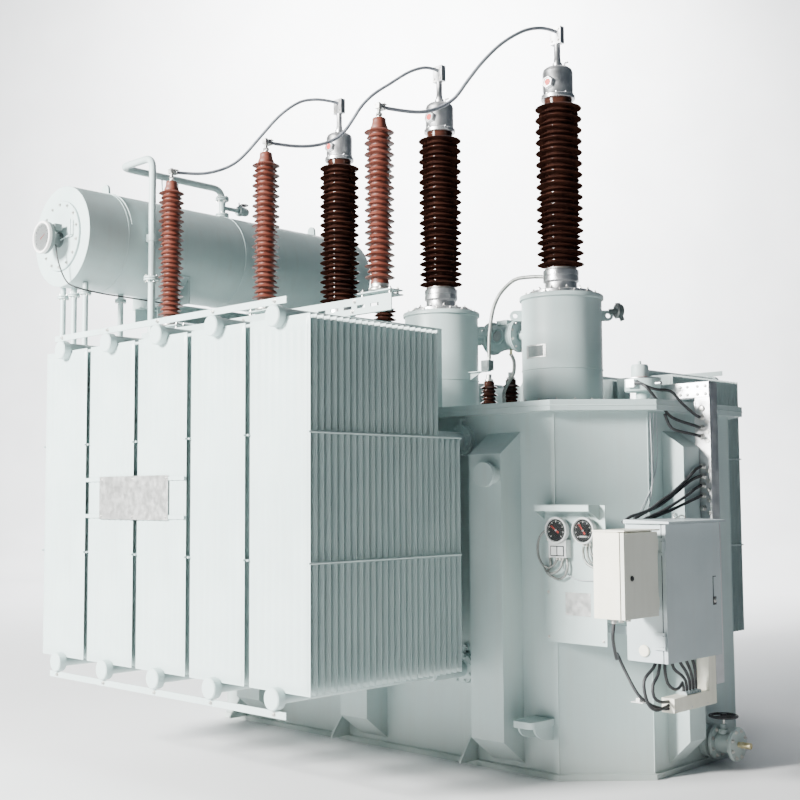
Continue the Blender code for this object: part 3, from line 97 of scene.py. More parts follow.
def addRod(form, start, end, radius, sides=16, rim=0.0):
    run = Vector(end) - Vector(start)
    length = run.length
    profile = [(0, 0), (radius - rim, 0), (radius, rim), (radius, length - rim), (radius - rim, length),
        (0, length)]
    if rim == 0:
        profile = [(0, 0), (radius, 0), (radius, length), (0, length)]
    addLathe(form, profile, start, run, sides)


def addPin(form, foot, axis, length, radius, sides=16, rim=0.0):
    addRod(form, foot, Vector(foot) + Vector(axis) * length, radius, sides, rim)


def addTube(form, route, radius, sides=10):
    route = [Vector(point) for point in route]
    points = []
    ahead = (route[1] - route[0]).normalized()
    side = ahead.orthogonal().normalized()
    for i, centre in enumerate(route):
        before = route[max(i - 1, 0)]
        after = route[min(i + 1, len(route) - 1)]
        aim = (after - before).normalized()
        side = (side - aim * side.dot(aim)).normalized()
        up = aim.cross(side)
        for j in range(sides):
            angle = tau * j / sides
            points.append(centre + (side * cos(angle) + up * sin(angle)) * radius)
    faces = [list(range(sides))[::-1], [len(points) - sides + j for j in range(sides)]]
    for i in range(len(route) - 1):
        for j in range(sides):
            k = (j + 1) % sides
            faces.append((i * sides + j, i * sides + k, (i + 1) * sides + k, (i + 1) * sides + j))
    addFaces(form, points, faces)


def addBolt(form, place, axis, size=0.012, stud=0.5):
    washer = size * 1.5
    head = size * 0.9
    addLathe(form, [(0, 0), (washer, 0), (washer, size * 0.2), (0, size * 0.2)], place, axis, 12)
    base = Vector(place) + Vector(axis).normalized() * size * 0.2
    turn = dice.uniform(0, 1)
    addLathe(form, [(size, 0), (size * 1.12, size * 0.1), (size * 1.12, head * 0.85), (size, head), (0, head)],
        base, axis, 6, turn)
    addLathe(form, [(size * 0.5, 0), (size * 0.5, head + size * stud), (0, head + size * stud)], base, axis, 8)


def boltRing(form, centre, axis, radius, count, size=0.012, turn=0.0, stud=0.5):
    aim = Vector(axis).to_track_quat("Z", "Y")
    for i in range(count):
        angle = turn + tau * i / count
        spot = Vector(centre) + aim @ Vector((radius * cos(angle), radius * sin(angle), 0))
        addBolt(form, spot, axis, size, stud)


def addStroke(form, base, angle, span, widths, deep):
    # A flat mark or needle on a dial that faces the front; the widths are halves, at foot and tip.
    ray = Vector((cos(angle), 0, sin(angle)))
    side = Vector((-sin(angle), 0, cos(angle)))
    inner, outer = span
    foot, tip = widths
    addPrism(form, [base + ray * inner - side * foot, base + ray * outer - side * tip,
        base + ray * outer + side * tip, base + ray * inner + side * foot], (0, deep, 0))


def circle(centre, radius, steps, first=0.0, sweep=tau):
    x, y, z = centre
    angles = [first + sweep * i / steps for i in range(steps + 1)]
    return [(x + radius * cos(angle), y, z + radius * sin(angle)) for angle in angles]


def smoothRoute(corners, step):
    corners = [Vector(point) for point in corners]
    ends = [corners[0] * 2 - corners[1], *corners, corners[-1] * 2 - corners[-2]]
    route = []
    for a, b, c, d in zip(ends, ends[1:], ends[2:], ends[3:]):
        count = max(1, round((c - b).length / step))
        for i in range(count):
            t = i / count
            bend = (a * -1 + b * 3 - c * 3 + d) * t ** 3 + (a * 2 - b * 5 + c * 4 - d) * t ** 2 + (c - a) * t
            route.append(b + bend / 2)
    route.append(corners[-1])
    return route


def roundRoute(corners, bend, steps=8):
    corners = [Vector(point) for point in corners]
    route = [corners[0]]
    for before, corner, after in zip(corners, corners[1:], corners[2:]):
        start = corner + (before - corner).normalized() * bend
        end = corner + (after - corner).normalized() * bend
        for i in range(steps + 1):
            t = i / steps
            route.append(start.lerp(corner, t).lerp(corner.lerp(end, t), t))
    route.append(corners[-1])
    return route


def makeMesh(form, name, looks, smooth=38):
    mesh = bpy.data.meshes.new(name)
    mesh.from_pydata(form["points"], [], form["faces"])
    tidy = bmesh.new()
    tidy.from_mesh(mesh)
    bmesh.ops.recalc_face_normals(tidy, faces=tidy.faces)
    tidy.to_mesh(mesh)
    tidy.free()
    for look in looks.split():
        mesh.materials.append(paint[look])
    mesh.polygons.foreach_set("material_index", form["marks"])
    mesh.shade_smooth()
    mesh.set_sharp_from_angle(angle=radians(smooth))
    return mesh


def addObject(name, data):
    item = bpy.data.objects.new(name, data)
    bpy.context.scene.collection.objects.link(item)
    return item


def place(mesh, name, slotName, body=root, stands=(), spot=(0, 0, 0), turn=0.0, bevel=0.0):
    piece = addObject(name, mesh)
    piece.location = spot
    piece.rotation_euler = (0, 0, turn)
    if bevel:
        soften = piece.modifiers.new("soften", "BEVEL")
        soften.width = bevel
        soften.segments = 2
        soften.limit_method = "ANGLE"
        soften.angle_limit = radians(50)
        soften.harden_normals = True
    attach(piece, body)
    if stands:
        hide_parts(*stands)
    return piece


def build(form, name, looks, slotName, body=root, stands=(), bevel=0.0, smooth=38):
    return place(makeMesh(form, name, looks, smooth), name, slotName, body, stands, bevel=bevel)


# Materials: two tints mixed by noise, faint streaks and dust, and a bumpy surface.
paints = {
    # First tint, second tint, dust; roughness range, metal, grain (broad, fine, height), top of the dust.
    "tankPaint": ((0.44, 0.548, 0.545), (0.48, 0.588, 0.582), (0.42, 0.4, 0.35),
        (0.34, 0.5), 0, (3, 220, 0.0012), 0.35),
    # The tank's paint made darker and bluer, as painted shade on the control cabinet, its door and the tray's gland
    # blocks.
    "cabinetPaint": ((0.41, 0.48, 0.5), (0.46, 0.53, 0.55), (0.42, 0.42, 0.4),
        (0.34, 0.46), 0, (3, 260, 0.001), 0.2),
    "creamPaint": ((0.76, 0.74, 0.62), (0.82, 0.8, 0.69), (0.5, 0.47, 0.4),
        (0.36, 0.5), 0, (3, 260, 0.001), 0.3),
    # The cream paint made darker and greyer, as painted shade on the junction box door.
    "doorPaint": ((0.62, 0.63, 0.56), (0.68, 0.69, 0.62), (0.42, 0.4, 0.36),
        (0.34, 0.46), 0, (3, 260, 0.001), 0.2),
    "aluminium": ((0.66, 0.67, 0.68), (0.76, 0.77, 0.78), (0.45, 0.44, 0.42),
        (0.28, 0.48), 1, (14, 300, 0.0008), 0.1),
    "zinc": ((0.62, 0.62, 0.6), (0.74, 0.73, 0.7), (0.4, 0.38, 0.34),
        (0.3, 0.5), 1, (40, 400, 0.0006), 0.1),
    "brass": ((0.66, 0.55, 0.28), (0.8, 0.72, 0.48), (0.4, 0.36, 0.28),
        (0.26, 0.46), 1, (40, 400, 0.0008), 0.1),
    "porcelain": ((0.024, 0.01, 0.008), (0.05, 0.019, 0.013), (0.11, 0.06, 0.04),
        (0.07, 0.15), 0, (8, 90, 0.0006), 0.1),
    "silicone": ((0.11, 0.027, 0.016), (0.15, 0.04, 0.025), (0.16, 0.07, 0.055),
        (0.42, 0.6), 0, (9, 240, 0.0008), 0.1),
    "rubber": ((0.02, 0.021, 0.024), (0.034, 0.035, 0.038), (0.1, 0.1, 0.1),
        (0.45, 0.62), 0, (20, 260, 0.0006), 0.3),
    "blackPlastic": ((0.018, 0.018, 0.02), (0.03, 0.03, 0.033), (0.1, 0.1, 0.1),
        (0.28, 0.42), 0, (12, 300, 0.0005), 0.1),
    "steelHose": ((0.2, 0.21, 0.2), (0.3, 0.31, 0.3), (0.36, 0.36, 0.34),
        (0.3, 0.48), 0.6, (30, 260, 0.0016), 0.1),
    "gaugeGrey": ((0.1, 0.13, 0.13), (0.15, 0.18, 0.18), (0.2, 0.2, 0.2),
        (0.34, 0.48), 0, (20, 260, 0.0006), 0.1),
    "greyHose": ((0.42, 0.45, 0.48), (0.5, 0.53, 0.56), (0.4, 0.4, 0.4),
        (0.4, 0.56), 0, (20, 260, 0.0008), 0.1),
    "leadSheath": ((0.24, 0.26, 0.3), (0.32, 0.34, 0.38), (0.4, 0.4, 0.4),
        (0.4, 0.56), 0.35, (30, 300, 0.0008), 0.1),
    "wheelBlack": ((0.022, 0.022, 0.025), (0.045, 0.045, 0.05), (0.12, 0.11, 0.1),
        (0.32, 0.5), 0, (18, 220, 0.0012), 0.2),
    "dialWhite": ((0.74, 0.74, 0.72), (0.8, 0.8, 0.78), (0.6, 0.6, 0.58),
        (0.4, 0.5), 0, (30, 300, 0.0002), 0.1),
    "dialGrey": ((0.5, 0.52, 0.52), (0.56, 0.58, 0.58), (0.5, 0.5, 0.5),
        (0.36, 0.48), 0, (30, 300, 0.0002), 0.1),
    "needleRed": ((0.62, 0.045, 0.035), (0.72, 0.07, 0.05), (0.5, 0.2, 0.2),
        (0.34, 0.46), 0, (40, 300, 0.0002), 0.1),
    "plateMetal": ((0.5, 0.51, 0.5), (0.6, 0.61, 0.6), (0.5, 0.5, 0.48),
        (0.3, 0.44), 0.8, (26, 300, 0.0004), 0.1),
    "floorPaint": ((0.66, 0.67, 0.68), (0.71, 0.72, 0.73), (0.66, 0.67, 0.68),
        (0.55, 0.7), 0, (0.7, 120, 0.001), 0.1),
}

# Specular level of the paints whose undersides are kept dull.
gloss = {"porcelain": 0.24}


def link(tree, source, output, target, entry):
    tree.links.new(source.outputs[output], target.inputs[entry])


def addNoise(tree, coords, scale, detail, stretch=1.0):
    mapping = tree.nodes.new("ShaderNodeMapping")
    mapping.inputs["Scale"].default_value = (1, 1, stretch)
    link(tree, coords, "Object", mapping, "Vector")
    noise = tree.nodes.new("ShaderNodeTexNoise")
    noise.inputs["Scale"].default_value = scale
    noise.inputs["Detail"].default_value = detail
    link(tree, mapping, "Vector", noise, "Vector")
    return noise


def addRange(tree, source, output, low, high, toLow, toHigh):
    step = tree.nodes.new("ShaderNodeMapRange")
    for entry, value in (("From Min", low), ("From Max", high), ("To Min", toLow), ("To Max", toHigh)):
        step.inputs[entry].default_value = value
    link(tree, source, output, step, "Value")
    return step


def addMix(tree, first, second, factor):
    mix = tree.nodes.new("ShaderNodeMix")
    mix.data_type = "RGBA"
    for entry, colour in ((6, first), (7, second)):
        if isinstance(colour, tuple):
            mix.inputs[entry].default_value = (*colour, 1)
        else:
            tree.links.new(colour.outputs[2], mix.inputs[entry])
    link(tree, factor, "Result", mix, 0)
    return mix


def makePaint(name, first, second, dust, rough, metal, grain, dustTop):
    material = bpy.data.materials.new(name)
    material.use_nodes = True
    tree = material.node_tree
    shader = tree.nodes["Principled BSDF"]
    coords = tree.nodes.new("ShaderNodeTexCoord")
    broad, fine, height = grain
    patches = addNoise(tree, coords, broad, 6)
    streaks = addNoise(tree, coords, broad * 6, 3, 0.06)
    tintShare = addRange(tree, patches, "Fac", 0.35, 0.65, 0, 1)
    colour = addMix(tree, first, second, tintShare)
    streakShare = addRange(tree, streaks, "Fac", 0.5, 0.78, 0, 0.16)
    colour = addMix(tree, colour, dust, streakShare)
    heights = tree.nodes.new("ShaderNodeSeparateXYZ")
    link(tree, coords, "Object", heights, "Vector")
    lowShare = addRange(tree, heights, "Z", 0, dustTop, 0.4, 0)
    colour = addMix(tree, colour, dust, lowShare)
    tree.links.new(colour.outputs[2], shader.inputs["Base Color"])
    roughness = addRange(tree, patches, "Fac", 0.3, 0.7, *rough)
    link(tree, roughness, "Result", shader, "Roughness")
    shader.inputs["Metallic"].default_value = metal
    if name in gloss:
        # Undersides are dull, so that they don't mirror the pale floor.
        face = tree.nodes.new("ShaderNodeNewGeometry")
        lean = tree.nodes.new("ShaderNodeSeparateXYZ")
        link(tree, face, "Normal", lean, "Vector")
        shine = addRange(tree, lean, "Z", -0.5, 0.1, 0, gloss[name])
        link(tree, shine, "Result", shader, "Specular IOR Level")
    pores = addNoise(tree, coords, fine, 2)
    bump = tree.nodes.new("ShaderNodeBump")
    bump.inputs["Strength"].default_value = 0.35
    bump.inputs["Distance"].default_value = height
    link(tree, pores, "Fac", bump, "Height")
    link(tree, bump, "Normal", shader, "Normal")
    return material


paint = {name: makePaint(name, *look) for name, look in paints.items()}


def makeGlass():
    material = bpy.data.materials.new("glass")
    material.use_nodes = True
    tree = material.node_tree
    shader = tree.nodes["Principled BSDF"]
    shader.inputs["Base Color"].default_value = (0.95, 0.97, 0.97, 1)
    shader.inputs["Transmission Weight"].default_value = 1
    shader.inputs["IOR"].default_value = 1.2
    coords = tree.nodes.new("ShaderNodeTexCoord")
    smears = addNoise(tree, coords, 60, 3)
    haze = addRange(tree, smears, "Fac", 0.4, 0.7, 0.02, 0.14)
    link(tree, haze, "Result", shader, "Roughness")
    return material


paint["glass"] = makeGlass()
print("stage: materials")

# The camera stands where the photo was taken.
camera = {"spot": (5.9918, -6.9921, 1.7369), "lens": 54.702, "yaw": 43.6996, "pitch": 4.3993, "roll": -0.3585}


def setCamera():
    yaw, pitch, roll = (radians(camera[key]) for key in ("yaw", "pitch", "roll"))
    level = Vector((-sin(yaw), cos(yaw), 0))
    right = Vector((cos(yaw), sin(yaw), 0))
    top = Vector(toTop)
    ahead = level * cos(pitch) + top * sin(pitch)
    lift = top * cos(pitch) - level * sin(pitch)
    across = right * cos(roll) + lift * sin(roll)
    upward = lift * cos(roll) - right * sin(roll)
    lens = bpy.data.cameras.new("view")
    lens.sensor_width = 36
    lens.lens = camera["lens"]
    lens.clip_end = 200
    eye = addObject("view", lens)
    matrix = Matrix((across, upward, -ahead)).transposed().to_4x4()
    matrix.translation = Vector(camera["spot"])
    eye.matrix_world = matrix
    bpy.context.scene.camera = eye


setCamera()

# The three jumper leads, from each bushing's clamp to its arrester's pin.
leads = {"radius": 0.012, "step": 0.085, "length": 1.692, "startY": -0.2928, "startZ": 4.93, "endY": -1.6477,
    "endZ": 4.17, "straight": 0.04, "bushings": (1.1, 0.0, -1.1), "arresters": (0.73, -0.37, -1.47),
    "routes": (((1.08, -0.4, 4.93), (1.04, -0.54, 4.89), (0.985, -0.72, 4.77), (0.94, -0.88, 4.61),
    (0.9, -1.02, 4.43), (0.875, -1.12, 4.3), (0.828, -1.291, 4.2), (0.785, -1.44, 4.172)),
    ((-0.02, -0.4, 4.93), (-0.06, -0.54, 4.87), (-0.112, -0.69, 4.755), (-0.15, -0.83, 4.65),
    (-0.178, -0.937, 4.53), (-0.197, -1.01, 4.41), (-0.225, -1.11, 4.285), (-0.268, -1.27, 4.205),
    (-0.315, -1.44, 4.172)), ((-1.13, -0.43, 4.932), (-1.185, -0.6, 4.895), (-1.235, -0.78, 4.755),
    (-1.278, -0.94, 4.563), (-1.316, -1.081, 4.385), (-1.348, -1.202, 4.275), (-1.4, -1.4, 4.19)),),}


def makeLeads():
    step = Vector((0, leads["straight"], 0))
    for i, middle in enumerate(leads["routes"]):
        start = Vector((leads["bushings"][i], leads["startY"], leads["startZ"]))
        end = Vector((leads["arresters"][i], leads["endY"], leads["endZ"]))
        route = [start, *smoothRoute([start - step, *middle, end + step], leads["step"]), end]
        line = bpy.data.curves.new("jumperLead%d" % (i + 1), "CURVE")
        line.dimensions = "3D"
        line.bevel_depth = leads["radius"]
        line.bevel_resolution = 5
        line.use_fill_caps = True
        spline = line.splines.new("NURBS")
        spline.points.add(len(route) - 1)
        for point, spot in zip(spline.points, route):
            point.co = (*spot, 1)
        spline.order_u = 3
        spline.use_endpoint_u = True
        spline.resolution_u = 4
        line.materials.append(paint["leadSheath"])
        lead = addObject("jumperLead%d" % (i + 1), line)
        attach(lead, root)
        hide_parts("jumper_lead_%d" % (i + 1))


makeLeads()
print("stage: camera and leads")

# Radiators: pressed panels with flutes, round headers and a gooseneck to the tank.
radiator = {"half": 0.26, "pitch": 0.05, "face": -2.504, "tall": 22, "short": 4, "low": 0.64, "tallTop": 2.74,
    "shortTop": 2.08, "thick": 0.0085, "valley": 0.0022, "edge": 0.0012, "edgeWidth": 0.012, "flutes": 8,
    "ends": (0.012, 0.075, 0.1), "header": 0.052, "cap": 0.064, "capReach": 0.055, "topZ": 2.745, "shortZ": 2.085,
    "lowZ": 0.6077, "seat": -0.9103, "flange": 0.1, "flangeY": (-0.9103, -0.938), "flangeThick": 0.024,
    "lever": (0.035, -0.936, 0.128), "welds": (-0.217, 0.062, 8), "lowHeader": 0.034, "rodZ": (2.08, 1.358),
    "rod": 0.006, "fronts": (0.76, 0.194, -0.372, -0.938, -1.504), "backShift": (-0.103, 0.0, -0.07),}


def panelProfile():
    half = radiator["half"]
    span = half - radiator["edgeWidth"]
    outline = [(-half, 0), (-span, 0)]
    count = radiator["flutes"]
    width = span * 2 / count
    for i in range(count):
        start = -span + width * i
        outline += [(start + width * share, swell) for share, swell in ((0.1, 0.25), (0.26, 0.9), (0.5, 1.0),
            (0.74, 0.9), (0.9, 0.25))]
    outline += [(span, 0), (half, 0)]
    return outline


def addPanel(form, y, low, top):
    outline = panelProfile()
    edge = radiator["edge"]
    thick = radiator["thick"]
    near, mid, far = radiator["ends"]
    levels = [(low, 0, 0), (low + near, 0, 0), (low + near * 2.2, 1, 0), (low + mid, 1, 0), (low + far, 1, 1),
        (top - far, 1, 1), (top - mid, 1, 0), (top - near * 2.2, 1, 0), (top - near, 0, 0), (top, 0, 0)]
    points = []
    count = len(outline)
    for z, swell, fluted in levels:
        ring = []
        for i, (x, share) in enumerate(outline):
            inner = 2 <= i < count - 2
            plain = 0.9 if inner else 0.0
            deep = radiator["valley"] + (thick - radiator["valley"]) * share if inner else edge
            flat = edge + (thick - edge) * plain
            depth = (deep if fluted else flat) if swell else edge
            ring.append((x, depth))
        points += [(x, y - depth, z) for x, depth in ring]
        points += [(x, y + depth, z) for x, depth in reversed(ring)]
    loop = count * 2
    faces = [list(range(loop)), list(range(loop * (len(levels) - 1), loop * len(levels)))]
    for i in range(len(levels) - 1):
        for j in range(loop):
            k = (j + 1) % loop
            faces.append((i * loop + j, i * loop + k, (i + 1) * loop + k, (i + 1) * loop + j))
    addFaces(form, points, faces)


def radiatorMesh():
    form = newForm()
    first = radiator["face"]
    pitch = radiator["pitch"]
    tall = radiator["tall"]
    for i in range(tall + radiator["short"]):
        top = radiator["tallTop"] if i < tall else radiator["shortTop"]
        addPanel(form, first + pitch * i, radiator["low"], top)
    start, step, count = radiator["welds"]
    for z in (radiator["tallTop"] - 0.1, radiator["low"] + 0.1):
        for i in range(count):
            x = start + step * i
            if abs(x) > 0.05:
                addLathe(form, [(0.006, -0.003), (0.004, 0.0006), (0, 0.001)], (x, first - 0.0085, z), toFront, 8)
    lastTall = first + pitch * (tall - 1)
    lastShort = lastTall + pitch * radiator["short"]
    topZ, shortZ, lowZ = radiator["topZ"], radiator["shortZ"], radiator["lowZ"]
    head = radiator["header"]
    cap = radiator["cap"]
    face = first - 0.006
    reach = radiator["capReach"]
    for z in (topZ, lowZ):
        addLathe(form, [(0, reach), (cap - 0.006, reach), (cap, reach - 0.006), (cap, 0), (head, -0.004),
            (0, -0.004)], (0, face, z), toFront, 40)
    addRod(form, (0, face, topZ), (0, lastTall + 0.01, topZ), head, 28)
    addRod(form, (0, face, lowZ), (0, lastShort + 0.01, lowZ), radiator["lowHeader"], 24)
    turnY = lastTall + pitch * 2.12
    neck = roundRoute([(0, lastTall, topZ), (0, turnY, topZ), (0, turnY, shortZ)], 0.085, 10)
    addTube(form, neck, head, 28)
    pipeEnd = radiator["seat"] - 0.001
    addRod(form, (0, lastTall + 0.03, shortZ), (0, pipeEnd, shortZ), head, 28, 0.004)
    addRod(form, (0, lastShort, lowZ), (0, pipeEnd, lowZ), head, 28, 0.004)
    flange, thick = radiator["flange"], radiator["flangeThick"]
    lever, leverY, leverZ = radiator["lever"]
    for z in (shortZ, lowZ):
        for y in radiator["flangeY"]:
            addRod(form, (0, y - thick, z), (0, y, z), flange, 40, 0.002)
        boltRing(form, (0, radiator["flangeY"][1] - thick, z), toFront, flange * 0.82, 8, 0.009, 0.39)
        addRod(form, (0, leverY, z), (0, leverY, z + leverZ + 0.007), 0.014, 14, 0.002)
        addBox(form, (-lever, leverY - 0.008, z + leverZ), (lever, leverY + 0.008, z + leverZ + 0.018))
    for z in radiator["rodZ"]:
        last = lastShort if z < radiator["shortTop"] - 0.05 else lastTall + 0.012
        last = lastShort + 0.012 if z == radiator["rodZ"][0] else last
        for side in (-1, 1):
            x = side * (radiator["half"] + radiator["rod"] * 0.6)
            addRod(form, (x, face - 0.012, z), (x, last, z), radiator["rod"], 12, 0.001)
    return makeMesh(form, "radiator", "tankPaint")


def makeRadiators():
    mesh = radiatorMesh()
    for i, x in enumerate(radiator["fronts"]):
        shift = radiator["backShift"]
        place(mesh, "radiatorFront%d" % (i + 1), "tank_paint", stands=["radiator_front_%d" % (i + 1)],
            spot=(x, 0, 0))
        place(mesh, "radiatorBack%d" % (i + 1), "tank_paint", stands=["radiator_back_%d" % (i + 1)],
            spot=(x + shift[0], 0, shift[2]), turn=pi)


makeRadiators()
print("stage: radiators")

# Flat bars that tie the headers of each bank, with a bolt at each cap.
ties = {"y": 2.5375, "thick": 0.008, "height": 0.04, "levels": (("upper", 2.8093), ("lower", 0.5034)), "over": 0.1}


def makeTies():
    fronts = radiator["fronts"]
    for side, sign, shift, drop in (("front", -1, 0.0, 0.0), ("back", 1, -0.103, -0.07)):
        for level, z in ties["levels"]:
            form = newForm()
            low = fronts[-1] - ties["over"] + shift
            high = fronts[0] + ties["over"] + shift
            y = sign * ties["y"]
            half = ties["thick"] / 2
            addBox(form, (low, y - half, z + drop), (high, y + half, z + drop + ties["height"]))
            form["mark"] = 1
            for x in fronts:
                addBolt(form, (x + shift, y + sign * half, z + drop + ties["height"] / 2), (0, sign, 0), 0.009, 0.8)
            build(form, "headerTie%s%s" % (side.title(), level.title()), "tankPaint zinc", "tank_paint",
                stands=["header_tie_%s_%s" % (side, level)], bevel=0.001)


makeTies()
print("stage: header ties")

# High-voltage bushings with large and small sheds, on their turrets.
bushing = {"places": (1.1, 0.0, -1.1), "y": -0.27, "deck": 2.3056, "turret": 0.2725, "rim": 0.2825, "foot": 0.345,
    "top": 3.07, "collarZ": 3.0703, "neckZ": 3.1003, "porcelainZ": 3.2503, "firstShed": 3.2903, "pitch": 0.078,
    "sheds": 15, "core": 0.0935, "shed": 0.16, "smallShed": 0.138, "topZ": 4.4443, "lugThick": 0.02,
    "lugEye": (0.318, 2.94, 0.036), "lugHole": 0.0165, "beadZ": 2.56}


def shedProfile(core, large, small, pitch, count, low):
    profile = []
    for i in range(count):
        for share, reach in ((0.0, large), (0.5, small)):
            z = low + pitch * (i + share)
            if i == count - 1 and share > 0:
                continue
            drop = pitch * 0.09
            profile += [(core, z - drop), (core + 0.006, z - drop * 0.1), (reach - 0.006, z - drop * 0.35),
                (reach, z), (reach - 0.003, z + drop * 0.5), (core + 0.012, z + pitch * 0.22),
                (core, z + pitch * 0.31)]
    return profile


def addLug(form, middle, turn):
    out = Vector((cos(turn), sin(turn), 0))
    half = Vector((-out.y, out.x, 0)) * bushing["lugThick"] / 2
    wall = bushing["turret"] - 0.006
    eye, eyeZ, bulge = bushing["lugEye"]
    plan = [(wall, eyeZ - bulge), (eye, eyeZ - bulge)]
    plan += [(eye + bulge * cos(a * pi / 12), eyeZ + bulge * sin(a * pi / 12)) for a in range(-5, 6)]
    plan += [(eye, eyeZ + bulge), (wall, eyeZ + bulge)]
    hole = bushing["lugHole"]
    ring = [(eye + hole * cos(a * tau / 16), eyeZ + hole * sin(a * tau / 16)) for a in range(16)]
    nearest = min(range(16), key=lambda i: (Vector(ring[i]) - Vector(plan[0])).length)
    ring = ring[nearest:] + ring[:nearest]
    outline = plan + [plan[0], *ring[:1], *ring[:0:-1], ring[0]]
    points = [middle + out * r + Vector((0, 0, z)) - half for r, z in outline]
    addPrism(form, points, half * 2)


def makeTurrets():
    foot, rim = bushing["foot"], bushing["rim"]
    for i, x in enumerate(bushing["places"]):
        form = newForm()
        y, deck, top, radius = bushing["y"], bushing["deck"], bushing["top"], bushing["turret"]
        addLathe(form, [(0, deck), (foot, deck), (foot, deck + 0.026), (foot - 0.004, deck + 0.03),
            (radius + 0.01, deck + 0.03), (radius + 0.003, deck + 0.033), (radius, deck + 0.04),
            (radius, top - 0.036), (radius + 0.004, top - 0.031), (rim, top - 0.03), (rim + 0.003, top - 0.027),
            (rim + 0.003, top - 0.004), (rim, top), (0, top)], (x, y, 0), sides=96)
        for turn in (45, 225):
            addLug(form, Vector((x, y, 0)), radians(turn))
        bead = circle((x, 0, y), radius + 0.001, 60)
        addTube(form, [(px, py, bushing["beadZ"]) for px, _, py in bead], 0.0035, 6)
        form["mark"] = 1
        boltRing(form, (x, y, deck + 0.03), toTop, 0.312, 16, 0.011, 0.1, 0.9)
        boltRing(form, (x, y, top), toTop, 0.251, 16, 0.01, 0.2, 1.2)
        build(form, "hvTurret%d" % (i + 1), "tankPaint zinc rubber", "tank_paint",
            stands=["hv_turret_%d" % (i + 1)])


def makeBushings():
    topZ, collarZ = bushing["topZ"], bushing["collarZ"]
    for i, x in enumerate(bushing["places"]):
        y = bushing["y"]
        form = newForm()
        core = bushing["core"]
        low = bushing["porcelainZ"]
        sheds = shedProfile(core, bushing["shed"], bushing["smallShed"], bushing["pitch"], bushing["sheds"],
            bushing["firstShed"])
        addLathe(form, [(core + 0.014, low), (core + 0.014, low + 0.02), (core, low + 0.028), *sheds,
            (core + 0.004, topZ - 0.01), (core + 0.004, topZ), (0, topZ)], (x, y, 0), sides=56)
        form["mark"] = 1
        neck = bushing["neckZ"]
        addLathe(form, [(0, collarZ), (0.217, collarZ), (0.22, collarZ + 0.003), (0.22, neck - 0.003),
            (0.217, neck), (0.118, neck), (0.111, neck + 0.01), (0.11, neck + 0.062), (0.118, neck + 0.07),
            (0.122, neck + 0.074), (0.122, neck + 0.104), (0.119, neck + 0.107), (0.119, neck + 0.112),
            (0.122, neck + 0.115), (0.122, low - 0.004), (0.118, low), (0, low)], (x, y, 0), sides=64)
        form["mark"] = 2
        boltRing(form, (x, y, neck), toTop, 0.19, 12, 0.011, 0.3, 1.0)
        addLathe(form, [(core + 0.012, low - 0.002), (core + 0.018, low + 0.004), (core + 0.016, low + 0.014),
            (core, low + 0.016)], (x, y, 0), sides=48)
        build(form, "hvBushing%d" % (i + 1), "porcelain aluminium zinc", "brown_porcelain",
            stands=["hv_bushing_%d" % (i + 1)], smooth=34)
        makeHead(i, x, y)


head = {"seat": 4.4446, "top": 4.6746, "radius": 0.105, "stemTop": 4.8546, "clamp": (4.8426, 4.9626),
    "eyeZ": 4.5481}


def makeHead(i, x, y):
    eyeZ = head["eyeZ"]
    form = newForm()
    seat, top, radius = head["seat"], head["top"], head["radius"]
    addLathe(form, [(0, seat), (radius + 0.01, seat), (radius + 0.012, seat + 0.003),
        (radius + 0.012, seat + 0.024), (radius + 0.009, seat + 0.028), (radius + 0.002, seat + 0.03),
        (radius, seat + 0.036), (radius, top - 0.04), (radius - 0.003, top - 0.03), (radius * 0.93, top - 0.018),
        (radius * 0.78, top - 0.006), (0.04, top + 0.004), (0.034, top + 0.01), (0.034, top + 0.03),
        (0.026, top + 0.034), (0.024, top + 0.06), (0.022, top + 0.064), (0.022, head["stemTop"]),
        (0, head["stemTop"])], (x, y, 0), sides=56)
    boltRing(form, (x, y, seat + 0.028), toTop, radius + 0.003, 10, 0.006, 0.2)
    addTube(form, roundRoute([(x + 0.06, y, top - 0.01), (x + 0.06, y, top + 0.02), (x + 0.09, y, top + 0.02)],
        0.008, 4), 0.006, 8)
    low, high = head["clamp"]
    addBox(form, (x - 0.045, y - 0.0225, low), (x + 0.045, y - 0.002, high))
    addBox(form, (x - 0.045, y + 0.002, low), (x + 0.045, y + 0.0225, high))
    addBox(form, (x - 0.036, y - 0.006, low + 0.01), (x + 0.036, y + 0.006, high - 0.008))
    form["mark"] = 1
    for dx in (-0.028, 0.028):
        for z in (low + 0.022, high - 0.022):
            addBolt(form, (x + dx, y - 0.0225, z), toFront, 0.007, 0.3)
            addBolt(form, (x + dx, y + 0.0225, z), toBack, 0.007, 0.9)
    face = y - radius - 0.012
    form["mark"] = 0
    addLathe(form, [(0.046, -0.016), (0.046, 0.004), (0.04, 0.008), (0.034, 0.008), (0.032, 0.002), (0, 0.002)],
        (x, face, eyeZ), toFront, 6, 0.3)
    boltRing(form, (x, face - 0.004, eyeZ), toFront, 0.036, 6, 0.0035, 0.3, 0.1)
    form["mark"] = 2
    addLathe(form, [(0.024, 0.0), (0.022, 0.005), (0, 0.006)], (x, face, eyeZ), toFront, 32)
    build(form, "hvHead%d" % (i + 1), "aluminium zinc needleRed", "aluminium", stands=["hv_terminal_%d" % (i + 1)],
        smooth=32)


makeTurrets()
makeBushings()
print("stage: bushings")

# Surge arresters: red silicone sheds on a metal foot, with the pin that takes the lead.
arrester = {"places": (0.73, -0.37, -1.47), "y": -1.66, "foot": 2.9903, "low": 3.0403, "pitch": 0.071, "sheds": 14,
    "core": 0.054, "shed": 0.095, "smallShed": 0.08, "cap": 4.0343, "capTop": 4.0943, "pin": 4.1943}


